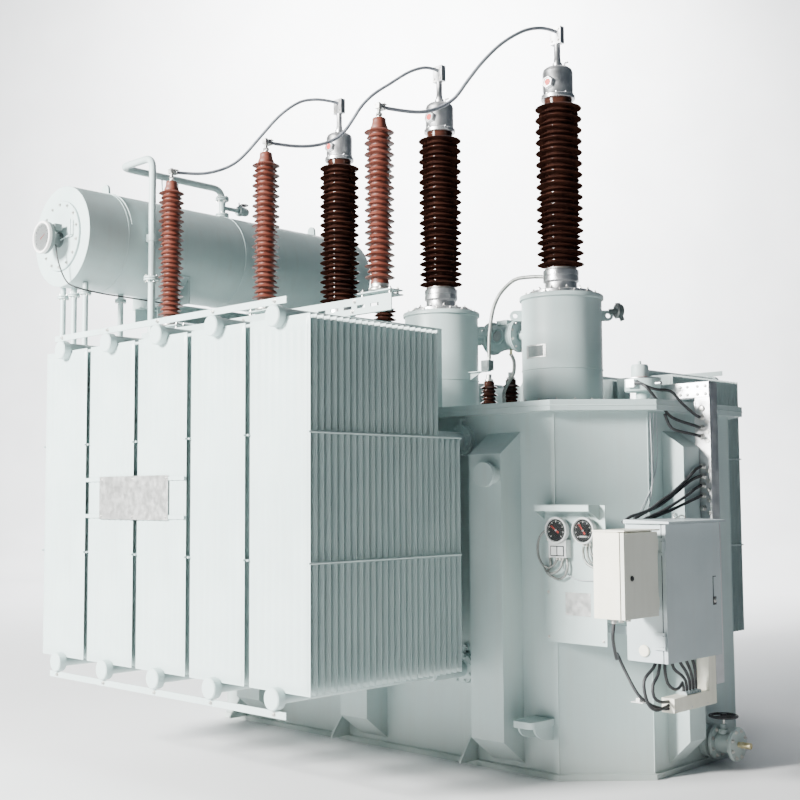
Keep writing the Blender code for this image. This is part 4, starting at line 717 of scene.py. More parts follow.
def makeArresters():
    low, cap, capTop, pin = arrester["low"], arrester["cap"], arrester["capTop"], arrester["pin"]
    for i, x in enumerate(arrester["places"]):
        y = arrester["y"]
        form = newForm()
        sheds = shedProfile(arrester["core"], arrester["shed"], arrester["smallShed"], arrester["pitch"],
            arrester["sheds"], low + arrester["pitch"] / 2)
        addLathe(form, [(0, low - 0.004), (0.058, low - 0.004), (0.058, low + 0.012),
            (arrester["core"], low + 0.018), *sheds, (0.056, cap - 0.006), (0.048, cap + 0.012),
            (0.043, cap + 0.034), (0.043, cap + 0.052), (0.036, capTop - 0.002), (0, capTop - 0.002)], (x, y, 0),
            sides=44)
        form["mark"] = 1
        foot = arrester["foot"]
        addLathe(form, [(0, foot), (0.068, foot), (0.07, foot + 0.003), (0.07, foot + 0.014), (0.06, foot + 0.018),
            (0.056, foot + 0.03), (0.058, low - 0.004), (0, low - 0.004)], (x, y, 0), sides=40)
        boltRing(form, (x, y, foot + 0.015), toTop, 0.062, 4, 0.007, 0.8)
        top = capTop
        addLathe(form, [(0.022, top - 0.006), (0.022, top + 0.004), (0.012, top + 0.008), (0.012, pin - 0.002),
            (0.01, pin), (0, pin)], (x, y, 0), sides=24)
        for z in (top + 0.012, top + 0.022):
            addLathe(form, [(0.012, 0), (0.021, 0.001), (0.021, 0.008), (0.012, 0.009)], (x, y, z), sides=6,
                turn=z * 30)
        clampZ = leads["endZ"]
        addBox(form, (x - 0.018, y - 0.02, clampZ - 0.016), (x + 0.018, y + 0.01, clampZ + 0.016))
        addBox(form, (x - 0.026, y + 0.006, clampZ - 0.016), (x + 0.026, y + 0.05, clampZ - 0.013))
        addBox(form, (x - 0.026, y + 0.006, clampZ + 0.013), (x + 0.026, y + 0.05, clampZ + 0.016))
        for dx in (-0.019, 0.019):
            addPin(form, (x + dx, y + 0.03, clampZ - 0.02), toTop, 0.044, 0.005, 8)
        build(form, "surgeArrester%d" % (i + 1), "silicone zinc", "red_silicone",
            stands=["surge_arrester_%d" % (i + 1)], smooth=50)


makeArresters()
print("stage: arresters")

# The tank: eight-sided walls with box stiffeners, ribs, jacking pads, a capped stub and a welded cover.
tank = {"endX": 1.905, "wallY": 0.91, "near": 0.41, "far": 0.19, "rimZ": 2.24, "coverZ": 2.2703, "deckZ": 2.3053,
    "over": 0.09, "base": 0.035, "proud": 0.02, "stiffX": ((1.1, -0.089, -1.221), (1.1, -0.192, -1.324)),
    "stiffWidth": 0.26, "stiffDepth": 0.2, "stiffZ": (0.065, 0.217, 1.98, 2.12), "endDepth": 0.15, "endY": 0.24,
    "endWidth": 0.19, "padX": 1.385, "padZ": 0.325, "padReach": 0.22, "padCorner": 0.03, "stub": (1.17, 1.85),
    "bead": 0.005, "eye": (-1.55, 0.72, 0.05, 0.024), "earth": (1.635, -0.735, 0.08),
    "coverPlate": ((1.45, -0.62), (1.62, -0.56))}


def tankPlan(grow, z):
    x = tank["endX"] + grow
    y = tank["wallY"] + grow
    extra = grow * (2 - sqrt(2))
    near = tank["near"] + extra
    far = tank["far"] + extra
    plan = [(x, -y + near), (x, y - near), (x - near, y), (-x + far, y), (-x, y - far), (-x, -y + far),
        (-x + far, -y), (x - near, -y)]
    return [(px, py, z) for px, py in plan]


def addStiffener(form, x, side):
    wallY, stiffWidth = tank["wallY"], tank["stiffWidth"]
    wall = side * (wallY - 0.002)
    out = side * (wallY + tank["stiffDepth"])
    low, frontLow, frontTop, top = tank["stiffZ"]
    start = x - stiffWidth / 2
    loop = [(start, wall, low), (start, out, frontLow), (start, out, frontTop), (start, wall, top)]
    addPrism(form, loop, (stiffWidth, 0, 0))
    for edge in (start - 0.001, start + stiffWidth + 0.001):
        addTube(form, [(edge, wall, low), (edge, wall, top)], tank["bead"], 6)
    rib = start - 0.13
    foot = side * (wallY + 0.17)
    base = tank["base"] - 0.001
    addPrism(form, [(rib, wall, base), (rib, foot, base), (rib, foot, base + 0.015), (rib, wall, base + 0.24)],
        (0.014, 0, 0))


def addPad(form, end, side):
    wall = side * (tank["wallY"] - 0.002)
    out = side * (tank["wallY"] + tank["padReach"])
    x = end * tank["padX"]
    z = tank["padZ"]
    corner = tank["padCorner"]
    rim = [(x - 0.08, wall, z)]
    for way in (-1, 1):
        for i in range(7):
            angle = pi / 2 * (i / 6 if way < 0 else 1 - i / 6)
            rim.append((x + way * (0.08 - corner + corner * cos(angle)), out - side * corner * (1 - sin(angle)), z))
    addPrism(form, rim + [(x + 0.08, wall, z)], (0, 0, 0.04))
    for shift in (-0.06, 0.06):
        loop = [(x + shift - 0.007, wall, z + 0.002), (x + shift - 0.007, wall, z - 0.09)]
        for i in range(9):
            angle = pi / 2 * i / 8
            loop.append((x + shift - 0.007, out - side * 0.04 - side * 0.16 * (1 - sin(angle)),
                z - 0.085 * cos(angle)))
        addPrism(form, loop[:-1] + [(x + shift - 0.007, out - side * 0.04, z + 0.002)], (0.014, 0, 0))


def makeTank():
    rimZ, over, bead, coverZ, deckZ = tank["rimZ"], tank["over"], tank["bead"], tank["coverZ"], tank["deckZ"]
    form = newForm()
    addPrism(form, tankPlan(0, 0.02), (0, 0, rimZ - 0.02))
    addPrism(form, tankPlan(tank["proud"], 0), (0, 0, tank["base"]))
    addPrism(form, tankPlan(over, rimZ - 0.001), (0, 0, 0.031))
    for side, places in zip((-1, 1), tank["stiffX"]):
        for x in places:
            addStiffener(form, x, side)
        for end in (-1, 1):
            addPad(form, end, side)
    low, frontLow, frontTop, top = tank["stiffZ"]
    drop = tank["endDepth"] * (top - frontTop) / tank["stiffDepth"]
    for end in (-1, 1):
        for side in (-1, 1):
            if end > 0 and side > 0:
                continue
            wall = end * (tank["endX"] - 0.002)
            out = end * (tank["endX"] + tank["endDepth"])
            y = side * tank["endY"] - tank["endWidth"] / 2
            addPrism(form, [(wall, y, low), (out, y, frontLow), (out, y, top - drop), (wall, y, top)],
                (0, tank["endWidth"], 0))
    for grow, z in ((0.002, tank["base"]), (0.002, rimZ - 0.001)):
        plan = tankPlan(grow, z)
        addTube(form, plan + [plan[0]], bead, 6)
    for x, y, z in tankPlan(0.0, 0.04):
        addTube(form, [(x, y, z), (x, y, rimZ - 0.004)], bead * 0.8, 6)
    x, z = tank["stub"]
    wall = -tank["wallY"]
    addRod(form, (x, wall + 0.002, z), (x, wall - 0.3, z), 0.055, 32)
    for y in (wall - 0.284, wall - 0.301):
        addRod(form, (x, y + 0.016, z), (x, y, z), 0.0775, 40, 0.002)
    addTube(form, circle((x, wall - 0.003, z), 0.058, 24), bead, 6)
    form["mark"] = 1
    x, y, z = tank["earth"]
    addBox(form, (x - 0.035, y - 0.01, z - 0.02), (x + 0.005, y + 0.035, z + 0.02))
    addBolt(form, (x, y, z), (0.7, -0.7, 0), 0.012)
    build(form, "tankWalls", "tankPaint zinc", "tank_paint", stands=["tank_body"], bevel=0.003)

    form = newForm()
    addPrism(form, tankPlan(over, coverZ), (0, 0, deckZ - coverZ))
    plan = tankPlan(over + 0.001, coverZ)
    addTube(form, plan + [plan[0]], 0.004, 6)
    near, far = tank["coverPlate"]
    addBox(form, (*near, deckZ - 0.001), (*far, deckZ + 0.012))
    eyeX, eyeY, reach, thick = tank["eye"]
    for y in (-eyeY, eyeY):
        plan = [(y - reach, deckZ - 0.001), (y + reach, deckZ - 0.001)]
        plan += [(py, pz) for py, _, pz in circle((y, 0, deckZ + reach), reach, 8, 0, pi)]
        addPrism(form, [(eyeX - thick / 2, py, pz) for py, pz in plan], (thick, 0, 0))
    build(form, "tankCover", "tankPaint", "tank_paint", stands=["tank_cover"], bevel=0.002)


makeTank()
print("stage: tank")

# The slotted beam under the arresters with its legs, and the plate on spacers that each arrester stands on.
beam = {"low": -1.764, "high": 0.88, "y": -1.715, "depth": 0.11, "z": (2.857, 2.962), "plateZ": (2.982, 2.99),
    "slot": (0.072, 0.02, 2.905, 0.12, 0.339), "legs": (0.477, -1.221), "leg": 0.07, "postY": -0.84}


def makeBeam():
    high, postY = beam["high"], beam["postY"]
    deckZ = tank["deckZ"]
    form = newForm()
    y = beam["y"]
    back = y + beam["depth"]
    low, top = beam["z"]
    slotLength, slotHeight, slotZ, pitch, firstSlot = beam["slot"]
    start = beam["low"]
    addBox(form, (start, y, slotZ + slotHeight / 2), (high, y + 0.008, top))
    addBox(form, (start, y, low), (high, y + 0.008, slotZ - slotHeight / 2))
    count = int((firstSlot - start) / pitch)
    x = firstSlot - pitch * count
    edge = start
    while x < high - pitch * 0.6:
        addBox(form, (edge, y + 0.0002, slotZ - slotHeight / 2 - 0.001), (x, y + 0.0078,
            slotZ + slotHeight / 2 + 0.001))
        edge = x + slotLength
        x += pitch
    addBox(form, (edge, y + 0.0002, slotZ - slotHeight / 2 - 0.001), (high - 0.0002, y + 0.0078,
        slotZ + slotHeight / 2 + 0.001))
    addBox(form, (start + 0.0004, y + 0.004, top - 0.008), (high - 0.0004, back, top - 0.0004))
    addBox(form, (start + 0.0004, y + 0.004, low + 0.0004), (high - 0.0004, y + 0.03, low + 0.008))
    for x in beam["legs"]:
        half = beam["leg"] / 2
        addBox(form, (x - half, y + 0.007, low - 0.07), (x + half, postY - 0.001, low - 0.001))
        addBox(form, (x - half + 0.001, postY - 0.07, deckZ + 0.001), (x + half - 0.001, postY, low - 0.002))
        addBox(form, (x - half - 0.03, postY - 0.1, deckZ), (x + half + 0.03, postY + 0.03, deckZ + 0.012))
        corner = postY - 0.068
        brace = [(x - 0.006, corner - 0.232, low - 0.068), (x - 0.006, corner, low - 0.3),
            (x - 0.006, corner, low - 0.068)]
        addPrism(form, brace, (0.012, 0, 0))
    plateLow, plateTop = beam["plateZ"]
    for x in arrester["places"]:
        right = min(x + 0.145, high)
        addBox(form, (x - 0.145, y - 0.002, plateLow), (right, back, plateTop))
    form["mark"] = 1
    for x in arrester["places"]:
        for dx in (-0.12, 0.12):
            spot = min(x + dx, high - 0.03)
            for dy in (0.022, 0.088):
                addRod(form, (spot, y + dy, top), (spot, y + dy, plateLow), 0.009, 12)
                addBolt(form, (spot, y + dy, plateTop), toTop, 0.01, 0.9)
        addBolt(form, (x - 0.17, y, top - 0.022), toFront, 0.01)
        addBolt(form, (x - 0.19, y, low + 0.022), toFront, 0.01)
    build(form, "arresterBeam", "tankPaint zinc", "tank_paint", stands=["arrester_beam"], bevel=0.001)


makeBeam()
print("stage: beam")

# The conservator drum, its bolted ends, oil gauge, saddles and stand.
drum = {"x": -2.28, "z": 3.73, "radius": 0.39, "wall": 0.006, "front": -2.08, "back": 0.85, "end": 0.02,
    "cover": 0.27, "saddleArc": (-144, 108), "gaugeZ": 3.7, "saddles": (-1.18, 0.48), "stands": (-0.42, 0.42),
    "strutZ": (2.75, 2.87), "rails": (-1.3, 0.6)}


def makeDrum():
    x, z, radius = drum["x"], drum["z"], drum["radius"]
    front, back = drum["front"], drum["back"]
    form = newForm()
    inner = radius - drum["wall"]
    addLathe(form, [(radius, -front), (radius, -back), (inner, -back), (inner, -front)], (x, 0, z), toFront, 128,
        closed=True)
    for y in (front + 0.33, -0.6):
        addTube(form, circle((x, y, z), radius + 0.0005, 96), 0.0035, 6)
    for y in (front + 0.36, 0.48):
        loop = [(x - 0.05, y, z + radius - 0.01), (x + 0.05, y, z + radius - 0.01)]
        loop += circle((x, y, z + radius + 0.04), 0.045, 8, 0, pi)
        addPrism(form, loop, (0, 0.018, 0))
    band = circle((x, front + 0.36, z), radius + 0.002, 14, radians(14), radians(78))
    addTube(form, band, 0.006, 8)
    build(form, "conservatorShell", "tankPaint", "tank_paint", stands=["conservator_shell"])

    form = newForm()
    face = -front + 0.0003
    cover = face + drum["end"]
    addLathe(form, [(0, face), (radius, face), (radius, cover - 0.003), (radius - 0.003, cover),
        (drum["cover"] + 0.002, cover), (drum["cover"] + 0.002, cover - 0.002), (drum["cover"], cover - 0.002),
        (drum["cover"], cover + 0.015), (drum["cover"] - 0.003, cover + 0.018), (0, cover + 0.018)], (x, 0, z),
        toFront, 128)
    addTube(form, [(x + 0.19, -cover - 0.02, z - 0.02), (x + 0.19, -cover - 0.045, z - 0.02),
        (x + 0.19, -cover - 0.045, z + 0.1)], 0.006, 8)
    addTube(form, [(x + 0.19, -cover - 0.04, z - 0.02), (x + 0.05, -cover - 0.04, z - 0.04)], 0.005, 8)
    form["mark"] = 1
    boltRing(form, (x, -cover - 0.018, z), toFront, 0.243, 14, 0.009, 0.22)
    build(form, "conservatorEndFront", "tankPaint zinc", "tank_paint", stands=["conservator_end_front"])

    form = newForm()
    addLathe(form, [(0, -back - 0.0003), (radius, -back - 0.0003), (radius, -back - 0.0173),
        (radius - 0.003, -back - 0.0203), (0, -back - 0.0203)], (x, 0, z), toFront, 96)
    build(form, "conservatorEndBack", "tankPaint", "tank_paint", stands=["conservator_end_back"])


gauge = {"radius": 0.125, "seat": -2.1186, "front": -2.2786}


def makeGauge():
    x, z = drum["x"], drum["gaugeZ"]
    seat = -gauge["seat"]
    front = -gauge["front"]
    radius = gauge["radius"]
    form = newForm()
    addLathe(form, [(0, seat), (0.06, seat), (0.06, seat + 0.012), (0.045, seat + 0.016), (0.045, front - 0.075),
        (0.075, front - 0.062), (radius - 0.01, front - 0.058), (radius - 0.002, front - 0.05),
        (radius - 0.002, front - 0.012), (0, front - 0.012)], (x, 0, z), toFront, 72)
    form["mark"] = 4
    addLathe(form, [(radius - 0.004, front - 0.026), (radius, front - 0.024), (radius, front - 0.004),
        (radius - 0.003, front), (radius - 0.016, front), (radius - 0.02, front - 0.006),
        (radius - 0.02, front - 0.014)], (x, 0, z), toFront, 72, closed=True)
    form["mark"] = 0
    addBox(form, (x + 0.03, -front + 0.062, z + 0.05), (x + 0.1, -front + 0.12, z + 0.1))
    form["mark"] = 1
    addLathe(form, [(radius - 0.018, front - 0.0105), (0, front - 0.0105)], (x, 0, z), toFront, 72)
    form["mark"] = 2
    addStroke(form, Vector((x - 0.01, -front + 0.006, z - 0.01)), radians(28), (-0.012, 0.06), (0.004, 0.0015),
        0.0012)
    form["mark"] = 3
    base = Vector((x, -front + 0.0078, z))
    for i in range(13):
        wide = 0.0022 if i % 3 == 0 else 0.0012
        addStroke(form, base, radians(-30 + 20 * i), (0.078, 0.094), (wide, wide), 0.0006)
    form["mark"] = 0
    boltRing(form, (x, gauge["seat"] - 0.012, z), toFront, 0.052, 6, 0.005, 0.2)
    looks = "gaugeGrey dialGrey needleRed rubber dialWhite"
    build(form, "oilGauge", looks, "instrument_black", stands=["oil_level_gauge"])
    glass = newForm()
    addLathe(glass, [(0, front - 0.006), (radius - 0.022, front - 0.006), (radius - 0.022, front - 0.004),
        (0, front - 0.003)], (x, 0, z), toFront, 48)
    build(glass, "oilGaugeGlass", "glass", "instrument_black")


def makeStand():
    deckZ = tank["deckZ"]
    form = newForm()
    x, z, radius = drum["x"], drum["z"], drum["radius"] + 0.001
    footZ = z - radius - 0.06
    armZ = footZ - 0.14
    first, sweep = (radians(angle) for angle in drum["saddleArc"])
    for y in drum["saddles"]:
        arc = circle((x, y - 0.06, z), radius, 24, first, sweep)
        loop = arc + [(arc[-1][0], y - 0.06, footZ - 0.002), (arc[0][0], y - 0.06, footZ - 0.002)]
        addPrism(form, loop, (0, 0.012, 0))
        addPrism(form, [(px, py + 0.108, pz) for px, py, pz in loop], (0, 0.012, 0))
        pad = circle((x, y - 0.06, z), radius + 0.008, 24, first, sweep)[::-1]
        addPrism(form, arc + pad, (0, 0.12, 0))
    post = -tank["endX"] + 0.12
    strutLow, strutTop = drum["strutZ"]
    near, far = drum["rails"]
    for y in drum["stands"]:
        addBox(form, (post - 0.12, y - 0.06, deckZ + 0.001), (post, y + 0.06, armZ + 0.002))
        addBox(form, (x - 0.23, y - 0.0585, armZ - 0.12), (post - 0.004, y + 0.0585, armZ))
        addPrism(form, [(post - 0.11, y - 0.03, strutLow), (post - 0.11, y - 0.03, strutTop),
            (x + 0.06, y - 0.03, armZ - 0.1), (x - 0.06, y - 0.03, armZ - 0.1)], (0, 0.06, 0))
        addBox(form, (post - 0.16, y - 0.1, deckZ), (post + 0.04, y + 0.1, deckZ + 0.016))
    addBox(form, (post - 0.08, drum["stands"][0], strutLow), (post - 0.04, drum["stands"][1], strutLow + 0.08))
    for side in (-1, 1):
        mid = x + side * 0.16
        addBox(form, (mid - 0.035, near, armZ), (mid + 0.035, far, armZ + 0.01))
        addBox(form, (mid - 0.035, near, footZ - 0.01), (mid + 0.035, far, footZ))
        addBox(form, (mid - 0.035, near, armZ), (mid - 0.027, far, footZ))
    form["mark"] = 1
    for y in drum["saddles"]:
        for side in (-1, 1):
            for dy in (-0.035, 0.035):
                addBolt(form, (x + side * 0.16, y + dy, footZ + 0.001), toTop, 0.012)
    for y in drum["stands"]:
        for dx in (-0.145, 0.025):
            for dy in (-0.08, 0.08):
                addBolt(form, (post + dx, y + dy, deckZ + 0.016), toTop, 0.01)
    build(form, "conservatorStand", "tankPaint zinc", "tank_paint", stands=["conservator_stand"], bevel=0.0015)


makeDrum()
makeGauge()
makeStand()
print("stage: conservator")

# Pipes: the feed pipe with its gas relay, the vent pipe with its valve, the drains under the drum.
pipes = {"feed": ((0.62, 0.16, 2.3056), (0.62, 0.16, 2.9), (-2.28, 0.16, 2.97), (-2.28, 0.16, 3.34)),
    "feedRadius": 0.045, "relay": (0.27, 0.16, 2.9085), "vent": ((-1.84, -1.575, 2.75), (-1.84, -1.575, 4.37),
    (-2.28, -1.575, 4.37), (-2.28, -0.55, 4.37), (-2.28, -0.55, 4.12)), "ventRadius": 0.028,
    "drains": ((-2.44, -1.985), (-2.28, -1.985), (-2.12, -1.985), (-2.28, -1.565)), "drainZ": (2.7, 3.3397),
    "feedFlange": (0.62, 0.16, 2.4), "riser": (-1.84, -1.575), "riserFlange": 3.41, "clamp": (3.7, 3.76),
    "valve": (-2.28, -0.55, 4.215), "valveFlanges": (4.145, 4.29), "spindleY": -0.36,
    "braces": (-1.21, -1.16, -1.05), "braceZ": (4.1, 4.36)}


def addFlangePair(form, centre, axis, radius, thick=0.014, bolts=6, size=0.007):
    axis = Vector(axis).normalized()
    centre = Vector(centre)
    for side in (-1, 1):
        start = centre + axis * side * 0.0015
        addRod(form, start, start + axis * side * thick, radius, 32, 0.0015)
    form["mark"] = 1
    boltRing(form, centre + axis * (thick + 0.0015), axis, radius * 0.78, bolts, size, 0.3)
    boltRing(form, centre - axis * (thick + 0.0015), -axis, radius * 0.78, bolts, size, 0.3, 0.9)
    form["mark"] = 0


def makePipes():
    form = newForm()
    addTube(form, roundRoute(pipes["feed"], 0.11, 10), pipes["feedRadius"], 24)
    x, y, z = pipes["relay"]
    addLathe(form, [(0, -0.11), (0.1, -0.11), (0.104, -0.1), (0.104, -0.06), (0.098, -0.05), (0.098, 0.05),
        (0.104, 0.06), (0.104, 0.1), (0.1, 0.11), (0, 0.11)], (x, y, z), (1, 0, 0.024), 48)
    for end in (-1, 1):
        for gap in (0.112, 0.128):
            spot = Vector((x + end * gap, y, z))
            addRod(form, spot, spot + Vector((end * 0.014, 0, 0)), 0.125, 48, 0.002)
    addBox(form, (x - 0.05, y - 0.05, z + 0.09), (x + 0.05, y + 0.05, z + 0.125))
    addLathe(form, [(0.06, 0.0), (0.06, 0.014), (0.052, 0.018), (0.044, 0.018), (0.042, 0.006), (0, 0.006)],
        (x, y - 0.096, z), toFront, 36)
    addFlangePair(form, pipes["feedFlange"], toTop, 0.085, 0.016, 8, 0.008)
    form["mark"] = 1
    for end in (-1, 1):
        boltRing(form, (x + end * 0.142, y, z), (end, 0, 0), 0.108, 10, 0.008, 0.3, 0.6)
    form["mark"] = 2
    addLathe(form, [(0.041, 0.0), (0.04, 0.004), (0, 0.004)], (x, y - 0.102, z), toFront, 36)
    form["mark"] = 3
    addLathe(form, [(0.01, 0), (0.01, 0.03), (0.016, 0.032), (0.016, 0.045), (0, 0.045)],
        (x + 0.07, y - 0.03, z - 0.1), (0, 0, -1), 16)
    build(form, "feedPipe", "tankPaint zinc dialGrey brass", "tank_paint", stands=["feed_pipe"], smooth=40)

    form = newForm()
    addTube(form, roundRoute(pipes["vent"], 0.1, 10), pipes["ventRadius"], 24)
    riserX, riserY = pipes["riser"]
    addFlangePair(form, (riserX, riserY, pipes["riserFlange"]), toTop, 0.062)
    x, valveY, valveZ = pipes["valve"]
    for z in pipes["valveFlanges"]:
        addFlangePair(form, (x, valveY, z), toTop, 0.058)
    low, high = pipes["clamp"]
    addBox(form, (riserX - 0.0497, riserY - 0.025, low), (riserX, riserY + 0.025, high))
    addRod(form, (riserX, riserY, low + 0.005), (riserX, riserY, high - 0.005), 0.034, 24, 0.002)
    spindleY = pipes["spindleY"]
    addRod(form, (x, valveY, valveZ), (x, spindleY, valveZ), 0.018, 16)
    addFlangePair(form, (x, spindleY, valveZ), toBack, 0.045, 0.012, 4, 0.006)
    addLathe(form, [(0, 0), (0.03, 0.0), (0.038, 0.02), (0.038, 0.05), (0.03, 0.07), (0, 0.07)],
        (x, spindleY + 0.015, valveZ), toBack, 24)
    low, high = pipes["braceZ"]
    for y in pipes["braces"]:
        addRod(form, (x + 0.06, y, low), (x, y + 0.03, high), 0.006, 8)
    build(form, "ventPipe", "tankPaint zinc", "tank_paint", stands=["vent_pipe"], smooth=40)

    form = newForm()
    wheelY, wheelZ = spindleY + 0.05, valveZ + 0.06
    addPin(form, (x, wheelY - 0.055, wheelZ - 0.02), toTop, 0.035, 0.006, 10)
    addLathe(form, [(0.035, 0.006), (0.041, 0), (0.035, -0.006), (0.029, 0)], (x, wheelY, wheelZ), toTop, 28,
        closed=True)
    addBox(form, (x - 0.03, wheelY - 0.005, wheelZ - 0.004), (x + 0.03, wheelY + 0.005, wheelZ + 0.004))
    addPin(form, (x, wheelY, wheelZ - 0.03), toTop, 0.038, 0.006, 10)
    build(form, "ventValveWheel", "wheelBlack", "wheel_black", smooth=40)

    low, high = pipes["drainZ"]
    for i, (x, y) in enumerate(pipes["drains"]):
        form = newForm()
        top = high + 0.024 if x != drum["x"] else high
        addRod(form, (x, y, low + 0.001), (x, y, top), 0.0225, 24)
        addFlangePair(form, (x, y, high - 0.053), toTop, 0.045, 0.012, 4, 0.005)
        addPin(form, (x, y, low), toTop, 0.016, 0.045, 28, 0.002)
        build(form, "conservatorDrain%d" % (i + 1), "tankPaint zinc", "tank_paint",
            stands=["conservator_drain_%d" % (i + 1)], smooth=40)


makePipes()
print("stage: pipes")

# On the cover: pressure relief valve, low-voltage and neutral bushings; beside it the cable trunk.
deckItems = {"z": 2.3056, "relief": (1.735, -0.275), "lvX": (0.3, 0.08, -0.14, -0.36), "lvY": 0.45,
    "lvBox": (-0.5, 0.44, 0.13, 0.1), "neutral": (-1.3, 0.45)}
trunk = {"x": (2.0293, 2.1313), "y": (-0.138, -0.038), "z": (0.55, 2.43), "armX": 1.55, "armZ": 2.33,
    "bracket": (0.65, 0.7), "rivets": ((1.93, 1.98, 2.052, 2.108), (2.352, 2.402)), "port": (2.078, 2.262),
    "glandX": 2.074, "screwX": 2.112, "glands": (2.205, 2.14, 2.085, 1.895, 1.834, 1.776, 1.712, 1.634)}


def makeRelief():
    x, y = deckItems["relief"]
    z = deckItems["z"]
    form = newForm()
    addLathe(form, [(0, 0), (0.085, 0), (0.085, 0.012), (0.045, 0.016), (0.045, 0.07), (0.112, 0.075),
        (0.115, 0.08), (0.115, 0.155), (0, 0.155)], (x, y, z), sides=56)
    addLathe(form, [(0, 0.166), (0.054, 0.166), (0.056, 0.17), (0.056, 0.235), (0.05, 0.25), (0.012, 0.254),
        (0.01, 0.275), (0, 0.275)], (x - 0.02, y, z), sides=48)
    form["mark"] = 1
    boltRing(form, (x, y, z + 0.012), toTop, 0.068, 8, 0.008, 0.3)
    addLathe(form, [(0, 0.1552), (0.118, 0.1552), (0.118, 0.16), (0, 0.16)], (x, y, z), sides=56)
    form["mark"] = 2
    addLathe(form, [(0, 0.158), (0.06, 0.158), (0.06, 0.167), (0, 0.167)], (x - 0.02, y, z), sides=48)
    form["mark"] = 1
    addBox(form, (x - 0.03, y - 0.15, z + 0.095), (x + 0.03, y - 0.11, z + 0.145))
    addPin(form, (x + 0.11, y - 0.02, z + 0.12), toEnd, 0.04, 0.013, 16, 0.002)
    build(form, "reliefValve", "tankPaint aluminium needleRed", "tank_paint", stands=["pressure_relief_valve"],
        smooth=40)


def makeDeckBushings():
    form = newForm()
    y = deckItems["lvY"]
    z = deckItems["z"]
    form["mark"] = 1
    low, high, half, tall = deckItems["lvBox"]
    addBox(form, (low, y - half, z), (high, y + half, z + tall))
    for x in deckItems["lvX"]:
        form["mark"] = 0
        sheds = shedProfile(0.042, 0.07, 0.058, 0.06, 3, 0.14)
        addLathe(form, [(0, 0.099), (0.05, 0.099), (0.05, 0.11), (0.042, 0.118), *sheds, (0.042, 0.31),
            (0.03, 0.32), (0, 0.32)], (x, y, z), sides=36)
        form["mark"] = 2
        addLathe(form, [(0.034, 0.316), (0.034, 0.33), (0.021, 0.334), (0.021, 0.368), (0, 0.37)], (x, y, z),
            sides=24)
        addBox(form, (x - 0.02, y - 0.006, z + 0.335), (x + 0.02, y + 0.006, z + 0.372))
        boltRing(form, (x, y, z + 0.1), toTop, 0.066, 6, 0.006, 0.3)
    build(form, "lvBushings", "porcelain tankPaint zinc", "brown_porcelain", stands=["lv_bushing_group"], smooth=50)

    form = newForm()
    x, y = deckItems["neutral"]
    form["mark"] = 1
    addLathe(form, [(0, 0), (0.182, 0), (0.182, 0.028), (0.178, 0.03), (0.14, 0.032), (0.14, 0.346), (0.136, 0.35),
        (0, 0.35)], (x, y, z), sides=56)
    form["mark"] = 0
    sheds = shedProfile(0.06, 0.105, 0.09, 0.072, 9, 0.422)
    addLathe(form, [(0, 0.349), (0.07, 0.349), (0.07, 0.365), (0.06, 0.372), *sheds, (0.06, 1.062), (0, 1.066)],
        (x, y, z), sides=44)
    form["mark"] = 2
    addLathe(form, [(0.064, 1.06), (0.064, 1.085), (0.055, 1.095), (0.022, 1.1), (0.022, 1.205), (0, 1.21)],
        (x, y, z), sides=32)
    boltRing(form, (x, y, z + 0.03), toTop, 0.162, 10, 0.01, 0.3)
    boltRing(form, (x, y, z + 0.35), toTop, 0.105, 8, 0.008, 0.3)
    build(form, "neutralBushing", "porcelain tankPaint zinc", "brown_porcelain", stands=["neutral_bushing"],
        smooth=50)


def makeTrunk():
    armX = trunk["armX"]
    form = newForm()
    x0, x1 = trunk["x"]
    y0, y1 = trunk["y"]
    low, top = trunk["z"]
    armZ = trunk["armZ"]
    addBox(form, (x0, y0, low), (x1, y1, top))
    addBox(form, (armX, y0 + 0.001, armZ), (x0 + 0.001, y1 - 0.001, top - 0.001))
    addBox(form, (armX, y0 + 0.001, deckItems["z"]), (armX + 0.05, y1 - 0.001, armZ + 0.001))
    bracketLow, bracketTop = trunk["bracket"]
    addBox(form, (tank["endX"] + 0.0005, y0, bracketLow), (x0 + 0.001, y1, bracketTop))
    addBox(form, (x0 - 0.004, y0 - 0.003, low), (x0 + 0.004, y0 + 0.001, top - 0.12))
    addBox(form, (x1 - 0.004, y0 - 0.003, low), (x1 + 0.003, y0 + 0.001, top - 0.12))
    addBox(form, (x0 - 0.145, y0 - 0.003, armZ + 0.002), (x1 - 0.002, y0 + 0.001, top - 0.002))
    form["mark"] = 1
    across, levels = trunk["rivets"]
    for x in across:
        for z in levels:
            addLathe(form, [(0.01, 0), (0.009, 0.004), (0.004, 0.007), (0, 0.0075)], (x, y0 - 0.003, z), toFront,
                16)
    x = trunk["glandX"]
    for z in trunk["glands"]:
        addRod(form, (x, y0 + 0.001, z), (x, y0 - 0.008, z), 0.021, 6, 0.001)
        addRod(form, (x, y0 - 0.008, z), (x, y0 - 0.026, z), 0.015, 20, 0.003)
        addLathe(form, [(0.014, 0), (0.014, 0.006), (0, 0.006)], (trunk["screwX"], y0, z - 0.03), toFront, 12)
    addLathe(form, [(0.02, 0), (0.02, 0.01), (0.014, 0.013), (0, 0.013)], (trunk["port"][0], y0, trunk["port"][1]),
        toFront, 24)
    build(form, "cableTrunk", "aluminium zinc", "aluminium", stands=["cable_trunk"], bevel=0.0015)


makeRelief()
makeDeckBushings()
makeTrunk()
print("stage: deck")

